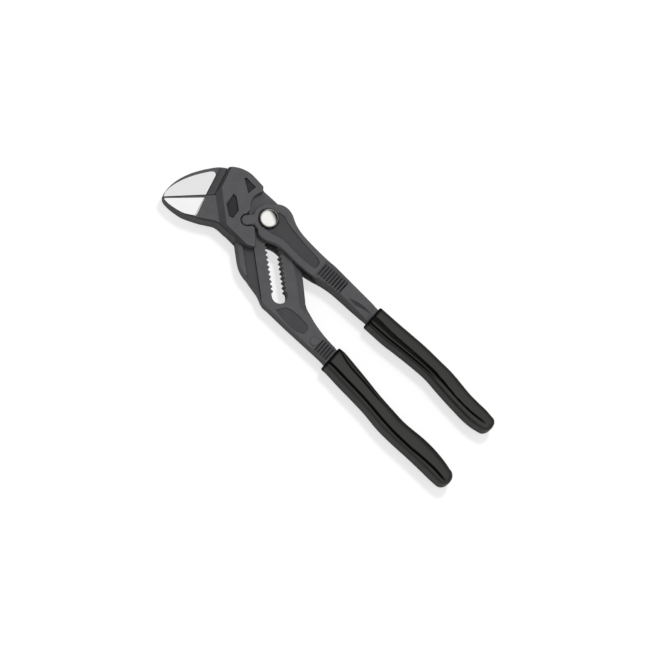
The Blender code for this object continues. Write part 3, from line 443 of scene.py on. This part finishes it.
def white_table():
    """The pale table: a white that the camera sees brighter than it is, so that the shadow stays pale."""
    table = Finish("white_table", TABLE_WHITE, metallic=0.0, roughness=0.9)
    table.set("Specular IOR Level", 0.0)
    table.set("Emission Color", WHITE)
    tree = table.material.node_tree
    ray = table.node("ShaderNodeLightPath").outputs
    bounced = maths(tree, 'ADD', ray["Is Glossy Ray"], ray["Is Transmission Ray"])
    mirrored = table.ramp(bounced, WHOLE_SPAN, 0.0, TABLE_MIRRORED)
    seen = table.ramp(ray["Is Camera Ray"], WHOLE_SPAN, 0.0, TABLE_GLOW)
    table.drive("Emission Strength", maths(tree, 'ADD', seen, mirrored))
    return table.material


# Pieces

def piece(name, mesh, body, slot, *nodes):
    """A finished piece that rides on its body and stands for the CAD nodes."""
    made = bpy.data.objects.new(name, mesh)
    bpy.context.scene.collection.objects.link(made)
    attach(made, body)
    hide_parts(*nodes)
    return made


def dress(mesh, *looks):
    """Give the mesh its material slots."""
    for look in looks:
        mesh.materials.append(look)


def from_bar(x, y):
    """A place or a direction given across and along the bar, in the tool's frame."""
    return Vector((x * cos(BAR_ANGLE) - y * sin(BAR_ANGLE), x * sin(BAR_ANGLE) + y * cos(BAR_ANGLE), 0))


def window(bm, faces, outline):
    """Cut faces along a convex outline, anticlockwise from above, and return those inside it."""
    corners = [Vector((x / MILLIMETRES_PER_METRE, y / MILLIMETRES_PER_METRE, 0)) for x, y in outline]
    for a, b in zip(corners, corners[1:] + corners[:1]):
        outward = Vector((b.y - a.y, a.x - b.x, 0)).normalized()
        geometry = dict.fromkeys(part for face in faces for part in (face, *face.edges, *face.verts))
        made = bmesh.ops.bisect_plane(bm, geom=list(geometry), dist=WELD, plane_co=a, plane_no=outward)
        faces = [part for part in made["geom"] if isinstance(part, bmesh.types.BMFace)
                 and (part.calc_center_median() - a).dot(outward) < 0]
    return faces


def outer_flats(bm):
    """The nearly level faces on the tool's front and back, outside the bar's space."""
    return [face for face in bm.faces if abs(face.normal.z) > NEARLY_FLAT
            and abs(face.calc_center_median().z - HALF_HEAD) > HALF_BAR_SPACE]


def shade_slopes(bm, shaded):
    """Paint shade on the slopes that lead from the jaw up to the cheeks."""
    for face in bm.faces:
        if SLOPE_LOW < abs(face.normal.z) < SLOPE_HIGH:
            face[shaded] = SLOPE_SHADE


def shade_knurls(bm, shaded, start, count):
    """Paint shade on a row of grooves: the walls dark and the ridges between them less so."""
    first, last = start - KNURL_PITCH / 2, start + KNURL_PITCH * (count - 0.5)
    for face in bm.faces:
        if first < face.calc_center_median().x < last:
            if abs(face.normal.z) > NEARLY_FLAT:
                face[shaded] = RIDGE_SHADE
            elif abs(face.normal.x) > GROOVE_WALL:
                face[shaded] = GROOVE_SHADE


def split(bm, cuts):
    """Seams through the middle of each hollow, so that no flat face is left with a hole in it."""
    for place, direction in cuts:
        geometry = bm.verts[:] + bm.edges[:] + bm.faces[:]
        made = bmesh.ops.bisect_plane(bm, geom=geometry, dist=WELD, plane_co=place, plane_no=direction)
        for edge in made["geom_cut"]:
            if isinstance(edge, bmesh.types.BMEdge):
                edge.seam = True


def across_arm(x):
    """A cut across an arm, at a distance along it."""
    return Vector((x, 0, 0)), ALONG


def through_grooves(start, count):
    """Cuts across the arm through each groove of a row."""
    return [across_arm(start + k * KNURL_PITCH) for k in range(count)]


def hollow_floors(bm):
    """The faces that lie at the bottom of a hollow: nearly all edges round them turn up."""
    floors = []
    seen = set()
    for first in bm.faces:
        if first in seen:
            continue
        seen.add(first)
        group, rim, rising = [first], 0.0, 0.0
        for face in group:
            for edge in face.edges:
                other = next((f for f in edge.link_faces if f is not face), face)
                if edge.calc_face_angle(0) < EDGE_ANGLE:
                    if other not in seen:
                        seen.add(other)
                        group.append(other)
                else:
                    rim += edge.calc_length()
                    rising += 0 if edge.is_convex else edge.calc_length()
        if rising > HOLLOW_SHARE * rim:
            floors += group
    return floors


def with_even_normals(mesh):
    """The mesh shaded so that its wide flat faces stay flat beside the eased edges."""
    source = bpy.data.objects.new("even", mesh)
    bpy.context.scene.collection.objects.link(source)
    even = source.modifiers.new("even", 'WEIGHTED_NORMAL')
    even.keep_sharp = True
    even.weight = FLATS_WEIGHT
    graph = bpy.context.evaluated_depsgraph_get()
    made = bpy.data.meshes.new_from_object(source.evaluated_get(graph))
    bpy.data.objects.remove(source)
    return made


def outer_edges(bm):
    """The convex edges that can be eased: none ends at a short side or beside a hollow."""
    def sharp(edge):
        return len(edge.link_faces) == 2 and edge.calc_face_angle(0) > EDGE_ANGLE

    def free(edge):
        beside = [other for vert in edge.verts for other in vert.link_edges]
        return all(other.calc_length() > SHORT_SIDE and (other.is_convex or not sharp(other))
                   for other in beside)

    return [edge for edge in bm.edges if sharp(edge) and edge.is_convex and free(edge)]


def forged_faces(node, cuts):
    """The CAD node's triangles merged into whole faces, with seams through its hollows."""
    bm = bmesh.new()
    bm.from_mesh(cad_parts[node].data)
    bmesh.ops.remove_doubles(bm, verts=bm.verts, dist=SHORT_EDGE)
    bmesh.ops.dissolve_degenerate(bm, edges=bm.edges, dist=SHORT_EDGE)
    split(bm, cuts)
    bmesh.ops.dissolve_limit(bm, angle_limit=FLAT_ANGLE, verts=bm.verts, edges=bm.edges, delimit={'SEAM'})
    bm.normal_update()
    return bm


def forging(name, node, body, black, shade, cuts, knurl=(), sloped=False, bright=(), dark=()):
    """The CAD forging with its outer edges eased, painted shade in its hollows and the other places asked
    for, and its ground faces bright.
    """
    bm = forged_faces(node, (through_grooves(*knurl) if knurl else []) + cuts)
    rubbed = bm.faces.layers.float.new("rubbed")
    hollow_and_painted_shade = bm.faces.layers.float.new("hollow_and_painted_shade")
    # Painted shade on the hollow floors, on the grooves and ridges, and on the slopes
    for face in hollow_floors(bm):
        face[hollow_and_painted_shade] = shade
    if knurl:
        shade_knurls(bm, hollow_and_painted_shade, *knurl)
    if sloped:
        shade_slopes(bm, hollow_and_painted_shade)
    eased = bmesh.ops.bevel(bm, geom=outer_edges(bm), offset=EASED_EDGE, offset_type='OFFSET', segments=2,
                            profile=0.5, affect='EDGES', clamp_overlap=False, material=0)
    for face in eased["faces"]:
        face[rubbed] = 1.0
    bm.normal_update()
    looks = [black]
    if bright:
        outline, ground = bright
        looks.append(ground)
        for face in window(bm, outer_flats(bm), outline):
            face.material_index = 1
    # Painted shade inside the given outline
    if dark:
        outline, level = dark
        for face in window(bm, outer_flats(bm), outline):
            face[hollow_and_painted_shade] = level
    for face in bm.faces:
        face.smooth = True
    mesh = bpy.data.meshes.new(name)
    bm.to_mesh(mesh)
    bm.free()
    dress(mesh, *looks)
    mesh.set_sharp_from_angle(angle=FORGING_CREASE_ANGLE)
    return piece(name, with_even_normals(mesh), body, "black_steel", node)


# Curves and skins

def on_curve(p, q, r, s, t):
    """The Catmull-Rom curve's value at a share of the way from q to r."""
    bend = 2 * p - 5 * q + 4 * r - s
    twist = 3 * q - p - 3 * r + s
    return (2 * q + (r - p) * t + bend * t**2 + twist * t**3) / 2


def smooth(points, steps):
    """A smooth curve through the points, with its two ends kept."""
    padded = [points[0], *points, points[-1]]
    out = []
    for near in zip(padded, padded[1:], padded[2:], padded[3:]):
        for i in range(steps):
            out.append(tuple(on_curve(*values, i / steps) for values in zip(*near)))
    return out + [tuple(points[-1])]


def between(table, x):
    """A table's other columns at x, straight between its rows and level past its ends."""
    if x <= table[0][0]:
        return table[0][1:]
    for low, high in zip(table, table[1:]):
        if x <= high[0]:
            share = (x - low[0]) / (high[0] - low[0])
            return [p + (q - p) * share for p, q in zip(low[1:], high[1:])]
    return table[-1][1:]


def spread(points, count):
    """As many points as asked, evenly spaced along an open line."""
    runs = [0.0]
    for a, b in zip(points, points[1:]):
        runs.append(runs[-1] + (Vector(b) - Vector(a)).length)
    table = [(run, *point) for run, point in zip(runs, points)]
    return [tuple(between(table, runs[-1] * i / (count - 1))) for i in range(count)]


def ease(t):
    """From 0 to 1 with level ends."""
    t = min(1, max(0, t))
    return t * t * (3 - 2 * t)


def skin(name, rings, pole, shades=None):
    """A closed mesh through rings of equal count, from a flat cap on the first to a pole after the last."""
    bm = bmesh.new()
    layer = bm.verts.layers.float.new("sunk") if shades else None
    rows = [[bm.verts.new(p) for p in ring] for ring in rings]
    for row, shade in zip(rows, shades or ()):
        for vert, value in zip(row, shade):
            vert[layer] = value
    count = len(rows[0])
    for low, high in zip(rows, rows[1:]):
        for i in range(count):
            bm.faces.new((low[i], low[(i + 1) % count], high[(i + 1) % count], high[i]))
    bm.faces.new(rows[0][::-1])
    tip = bm.verts.new(pole)
    for i in range(count):
        bm.faces.new((rows[-1][i], rows[-1][(i + 1) % count], tip))
    bmesh.ops.recalc_face_normals(bm, faces=bm.faces)
    for face in bm.faces:
        face.smooth = True
    mesh = bpy.data.meshes.new(name)
    bm.to_mesh(mesh)
    bm.free()
    mesh.set_sharp_from_angle(angle=SKIN_CREASE_ANGLE)
    return mesh


# The dipped grips

def notch(distance, half_width):
    """A rounded groove's depth as a share, at a distance from its middle."""
    return (1 + cos(pi * distance / half_width)) / 2 if abs(distance) < half_width else 0.0


def crease(table, along, across, width, half_width):
    """How far one crease sinks the skin at a place on the grip, as a share of its depth."""
    middle, share = between(table, along)
    return share * notch((across - middle) * width, half_width)


def slotted_sink(along, across, width):
    """How deep the slotted arm's grip is sunk and how dark its painted shade is: a long crease, and one
    from the mouth's corner.
    """
    main = crease(SLOTTED_CREASE, along, across, width, CREASE_HALF_WIDTH)
    corner = crease(CORNER_CREASE, along, across, width, NARROW_CREASE_HALF_WIDTH)
    return CREASE_DEPTH * main + NARROW_CREASE_DEPTH * corner, FULL_SHADE * (main + corner)


def lever_sink(along, across, width):
    """How deep the lever's grip is sunk and how dark its painted shade is: a hollow, deeper to one side,
    and a narrow crease.
    """
    left, right, share = between(LEVER_HOLLOW, along)
    t = (across - left) / (right - left)
    hollow_and_painted_shade = ease(t / HOLLOW_TURN) * (1 - ease((t - HOLLOW_TURN) / (1 - HOLLOW_TURN)))
    narrow = crease(LEVER_CREASE, along, across, width, NARROW_CREASE_HALF_WIDTH)
    darkness = HOLLOW_SHADE + (FULL_SHADE - HOLLOW_SHADE) * ease((along - HOLLOW_FADE) / HOLLOW_FADE)
    return (HOLLOW_DEPTH * share * hollow_and_painted_shade + NARROW_CREASE_DEPTH * narrow,
            darkness * share * hollow_and_painted_shade + FULL_SHADE * narrow)


def shoulder_line(power):
    """The grip's upper half section from its right edge over the top to its left, as shares."""
    line = []
    for i in range(SHOULDER_STEPS + 1):
        across, up = cos(pi * i / SHOULDER_STEPS), sin(pi * i / SHOULDER_STEPS)
        p = power if across > 0 else SQUARE_SHOULDER
        line.append(((1 if across > 0 else -1) * abs(across) ** (2 / p), up ** (2 / p)))
    return spread(line, ACROSS_POINTS)


def grip_rows(shares, start, length, centre):
    """Places along a grip from behind its lip to near its rounded end: x, centre line, half width."""
    stations = [(start + length * s, centre - GRIP_BOW * c, GRIP_HALF_WIDTH * w) for s, c, w in shares]
    rows = smooth(stations[:-1], ALONG_STEPS)
    (x, middle, width), (end, last_middle, _) = stations[-2:]
    for k in range(1, END_STEPS):
        turn = pi / 2 * k / END_STEPS
        rows.append((x + (end - x) * sin(turn), middle + (last_middle - middle) * sin(turn),
                     width * cos(turn)))
    return stations, rows


def lip_rows(mouth, centre, width):
    """Places round the rolled lip: x, centre line, half width, and how far the section is drawn in."""
    rows = []
    for k in range(LIP_STEPS):
        turn = pi / 2 * k / LIP_STEPS
        rows.append((mouth - GRIP_LIP * cos(turn), centre, width, GRIP_LIP * (1 - sin(turn))))
    return rows


def core_ring(x, centre, width, half, unit):
    """The space round the steel core: the section's points pushed out to a rectangle."""
    ring = []
    for across, up in unit:
        reach = max(abs(across), abs(up))
        ring.append((x, centre + width * across / reach, HALF_HEAD + half * up / reach))
    return ring


def core_rings(stations, core_half, unit):
    """The space for the steel core, from its blind end to the lip."""
    mouth = stations[0][0]
    pocket = [(x, c, w - GRIP_WALL + GRIP_FIT) for x, c, w in stations if x < mouth + GRIP_CORE]
    pocket.append((pocket[-1][0] + GRIP_FIT, *pocket[-1][1:]))
    pocket.insert(0, (mouth - GRIP_LIP, *pocket[0][1:]))
    return [core_ring(*row, core_half + GRIP_FIT, unit) for row in pocket[::-1]]


def grip(name, node, body, shares, place, core_half, shoulder, sink, plastic):
    """A dipped sleeve: the space for the core, the rolled lip, the creased skin and the round end."""
    start, length, centre = place
    stations, rows = grip_rows(shares, start, length, centre)
    mouth = stations[0][0]
    line = shoulder_line(shoulder)
    unit = line + [(across, -up) for across, up in line[-2:0:-1]]
    rings = core_rings(stations, core_half, unit)
    # Every point carries a level of painted shade: the creases, the hollow, the rolled lip and the space
    # for the core
    shades = [[LIP_SHADE] * len(unit) for _ in rings]
    for x, middle, width, inset in lip_rows(*stations[0]) + [(*row, 0.0) for row in rows]:
        height = GRIP_HALF_HEIGHT * sqrt(min(1, width / GRIP_HALF_WIDTH)) - inset
        width *= SQUARE_WIDTH
        ring, shade = [], []
        for across, up in unit:
            creased = abs(up) > CREASED_FROM
            sunk, dark = sink((x - start) / length, across, width) if creased else (0, 0)
            inwards = sunk if up > 0 else -sunk
            ring.append((x, middle + (width - inset) * across, HALF_HEAD + height * up - inwards))
            shade.append(max(min(1, dark), LIP_SHADE * (1 - ease((x - mouth) / LIP_FADE))))
        rings.append(ring)
        shades.append(shade)
    mesh = skin(name, rings, (stations[-1][0], stations[-1][1], HALF_HEAD), shades)
    dress(mesh, plastic)
    return piece(name, mesh, body, "black_plastic", node)


# Turned pieces and the coil

def button(bright):
    """The chromed cap: a round dome with an eased foot, hollow for the coil."""
    rise = BUTTON_TOP - BUTTON_SHOULDER
    quarter = [pi / 2 * i / DOME_STEPS for i in range(1, DOME_STEPS)]
    dome = [(BUTTON_RADIUS * sin(turn), BUTTON_SHOULDER + rise * cos(turn)) for turn in quarter]
    profile = [(BUTTON_BORE, BUTTON_ROOF), (BUTTON_BORE, BUTTON_FOOT + BUTTON_EDGE),
               (BUTTON_BORE + BUTTON_EDGE, BUTTON_FOOT), (BUTTON_RADIUS - BUTTON_EDGE, BUTTON_FOOT),
               (BUTTON_RADIUS, BUTTON_FOOT + BUTTON_EDGE), (BUTTON_RADIUS, BUTTON_SHOULDER)] + dome[::-1]
    round_turns = [2 * pi * i / CAP_SIDES for i in range(CAP_SIDES)]
    rings = [[(r * cos(turn), r * sin(turn), z) for turn in round_turns] for r, z in profile]
    mesh = skin("chromed_cap", rings, (0, 0, BUTTON_TOP))
    dress(mesh, bright)
    return piece("chromed_cap", mesh, "bolt", "chromed_button", "push_button")


def coil_tree(wire):
    """A node tree that sweeps round wire along a rising spiral."""
    tree = bpy.data.node_groups.new("wire_coil", 'GeometryNodeTree')
    face = tree.interface
    sizes = (("Radius", COIL_RADIUS), ("Height", COIL_HIGH - COIL_LOW), ("Turns", COIL_TURNS),
             ("Wire Radius", COIL_WIRE / 2))
    keys = {}
    for name, value in sizes:
        socket = face.new_socket(name=name, in_out='INPUT', socket_type='NodeSocketFloat')
        keys[socket.identifier] = value
    face.new_socket(name="Geometry", in_out='OUTPUT', socket_type='NodeSocketGeometry')
    given = tree.nodes.new("NodeGroupInput").outputs
    spiral = tree.nodes.new("GeometryNodeCurveSpiral")
    spiral.inputs["Resolution"].default_value = COIL_STEPS
    section = tree.nodes.new("GeometryNodeCurvePrimitiveCircle")
    section.inputs["Resolution"].default_value = WIRE_SIDES
    sweep = tree.nodes.new("GeometryNodeCurveToMesh")
    sweep.inputs["Fill Caps"].default_value = True
    shade = tree.nodes.new("GeometryNodeSetShadeSmooth")
    whole = tree.nodes.new("GeometryNodeRealizeInstances")
    look = tree.nodes.new("GeometryNodeSetMaterial")
    look.inputs["Material"].default_value = wire
    out = tree.nodes.new("NodeGroupOutput")
    for source, target in ((given["Radius"], spiral.inputs["Start Radius"]),
                           (given["Radius"], spiral.inputs["End Radius"]),
                           (given["Height"], spiral.inputs["Height"]),
                           (given["Turns"], spiral.inputs["Rotations"]),
                           (given["Wire Radius"], section.inputs["Radius"]),
                           (spiral.outputs["Curve"], sweep.inputs["Curve"]),
                           (section.outputs["Curve"], sweep.inputs["Profile Curve"]),
                           (sweep.outputs["Mesh"], shade.inputs["Geometry"]),
                           (shade.outputs["Geometry"], whole.inputs["Geometry"]),
                           (whole.outputs["Geometry"], look.inputs["Geometry"]),
                           (look.outputs["Geometry"], out.inputs["Geometry"])):
        tree.links.new(source, target)
    return tree, keys


def coil(wire):
    """The button's coil, at one height: round wire swept along a rising spiral."""
    tree, keys = coil_tree(wire)
    source = bpy.data.objects.new("coil_source", bpy.data.meshes.new("coil_source"))
    bpy.context.scene.collection.objects.link(source)
    sweep = source.modifiers.new("coil", 'NODES')
    sweep.node_group = tree
    for key, value in keys.items():
        sweep[key] = value
    graph = bpy.context.evaluated_depsgraph_get()
    mesh = bpy.data.meshes.new_from_object(source.evaluated_get(graph))
    bpy.data.objects.remove(source)
    bm = bmesh.new()
    bm.from_mesh(mesh)
    bmesh.ops.translate(bm, verts=bm.verts, vec=(0, 0, COIL_LOW))
    bmesh.ops.remove_doubles(bm, verts=bm.verts, dist=WELD)
    bmesh.ops.recalc_face_normals(bm, faces=bm.faces)
    bm.to_mesh(mesh)
    bm.free()
    mesh.name = "button_coil"
    made = piece("button_coil", mesh, "adjustment", "spring_steel", "button_spring")
    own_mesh(made)


# Scene

def build_table():
    """A wide plain floor under the tool."""
    s = TABLE_HALF_SIDE
    mesh = bpy.data.meshes.new("table")
    mesh.from_pydata([(-s, -s, 0), (s, -s, 0), (s, s, 0), (-s, s, 0)], [], [(0, 1, 2, 3)])
    table = bpy.data.objects.new("table", mesh)
    bpy.context.scene.collection.objects.link(table)
    dress(mesh, white_table())
    table.location.z = -TABLE_DROP


def key_lamp():
    """A square lamp that looks at the middle of the tool and doesn't show in reflections."""
    light = bpy.data.lights.new("key_lamp", 'AREA')
    light.shape = 'SQUARE'
    light.size = LAMP_SIZE
    light.energy = LAMP_POWER
    lamp = bpy.data.objects.new("key_lamp", light)
    lamp.location = LAMP_PLACE
    lamp.visible_glossy = False
    lamp.rotation_mode = 'QUATERNION'
    lamp.rotation_quaternion = (LAMP_AIM - LAMP_PLACE).to_track_quat('-Z', 'Y')
    bpy.context.scene.collection.objects.link(lamp)


def pale_room():
    """A pale room that surfaces reflect as dark beyond the tool and near the floor."""
    world = bpy.data.worlds.new("pale_room")
    bpy.context.scene.world = world
    world.use_nodes = True
    tree = world.node_tree
    nodes, links = tree.nodes, tree.links
    background = nodes["Background"]
    background.inputs["Color"].default_value = WHITE
    direction = nodes.new("ShaderNodeTexCoord").outputs["Generated"]

    def towards(way, near, far, first, last):
        """A level that goes from first to last as the direction turns towards a way."""
        dot = nodes.new("ShaderNodeVectorMath")
        dot.operation = 'DOT_PRODUCT'
        dot.inputs[1].default_value = way
        links.new(direction, dot.inputs[0])
        level = nodes.new("ShaderNodeMapRange")
        level.interpolation_type = 'SMOOTHSTEP'
        for socket, value in (("From Min", near), ("From Max", far), ("To Min", first), ("To Max", last)):
            level.inputs[socket].default_value = value
        links.new(dot.outputs["Value"], level.inputs["Value"])
        return level.outputs["Result"]

    side, rise = towards(ROOM_DARK_WAY, *ROOM_SIDE), towards(Vector((0, 0, 1)), *ROOM_RISE)
    ray = nodes.new("ShaderNodeLightPath").outputs
    reflected = nodes.new("ShaderNodeMix")
    reflected.inputs["A"].default_value = ROOM_LEVEL
    links.new(ray["Is Glossy Ray"], reflected.inputs["Factor"])
    links.new(maths(tree, 'MULTIPLY', side, rise), reflected.inputs["B"])
    clear = maths(tree, 'MAXIMUM', ray["Is Camera Ray"], ray["Is Transmission Ray"])
    links.new(maths(tree, 'MAXIMUM', reflected.outputs["Result"], clear), background.inputs["Strength"])


def place_camera():
    """The photograph's view: 70 degrees above the table, rolled about the line of sight."""
    middle = Vector((0, 0, 2 * HALF_HEAD)) + VIEW_RIGHT * VIEW_ASIDE - VIEW_UP * VIEW_DOWN
    data = bpy.data.cameras.new("photo_camera")
    data.sensor_width = SENSOR
    data.lens = LENS
    camera = bpy.data.objects.new("photo_camera", data)
    eye = middle - VIEW_FORWARD * (VIEW_WIDTH * LENS / SENSOR)
    turn = Matrix((VIEW_RIGHT, VIEW_UP, -VIEW_FORWARD)).transposed().to_4x4()
    camera.matrix_world = Matrix.Translation(eye) @ turn
    data.clip_end = VIEW_REACH
    bpy.context.scene.collection.objects.link(camera)
    bpy.context.scene.camera = camera
    bpy.context.scene.view_settings.view_transform = 'Standard'


def dress_forgings():
    """The three forgings, each with seams through its hollows."""
    black = phosphated_steel()
    across_bar = from_bar(1, 0)
    forging("slotted_arm_forging", "slotted_arm", "slotted_half", black, SLOTTED_ARM_SHADE,
            [across_arm(SHANK_KNURL_START - BOSS_GAP), across_arm(LABEL_MIDDLE),
             (from_bar(SLOT_OFFSET, 0), across_bar)],
            knurl=(SHANK_KNURL_START, SHANK_KNURL_COUNT),
            bright=(UPPER_GROUND, ground_steel("ground_steel_upper_shaded", *UPPER_GROUND_SHADED_GREYS)),
            dark=(JAW_STRIP, JAW_STRIP_SHADE))
    forging("sliding_jaw_forging", "sliding_jaw", "jaw", black, SLIDING_JAW_SHADE,
            [(from_bar(HEAD_WIDTH * share - BAR_FRONT, 0), across_bar)
             for share in (HEX_DIMPLE_SHARE, TRI_DIMPLE_SHARE)],
            sloped=True,
            bright=(LOWER_GROUND, ground_steel("ground_steel_lower", *LOWER_GROUND_GREYS)))
    forging("lever_forging", "lever_arm", "lever", black, LEVER_SHADE,
            [(Vector((0, 0, 0)), Vector((0, 1, 0)))],
            knurl=(KNURL_START, KNURL_COUNT), dark=(NECK_SHADE_OUTLINE, NECK_PAINTED_SHADE))


def dress_tool():
    """Every piece with its finish."""
    dress_forgings()
    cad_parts["adjusting_bolt"].material_slots[0].material = turned_steel()
    button(chrome())
    coil(drawn_wire())
    plastic = dipped_plastic()
    grip("slotted_arm_sleeve", "slotted_arm_grip", "slotted_half", SLOTTED_GRIP_SHARES,
         (SHANK_REACH, SLOTTED_GRIP_LENGTH, -HANDLE_DROP), HALF_BAR, ROUND_SHOULDER,
         slotted_sink, plastic)
    grip("lever_sleeve", "lever_grip", "lever", LEVER_GRIP_SHARES,
         (ARM_REACH, LEVER_GRIP_LENGTH, -LEVER_GRIP_OFFSET), ARM_HALF_THICKNESS, SQUARE_SHOULDER,
         lever_sink, plastic)


place_camera()
pale_room()
key_lamp()
build_table()
dress_tool()
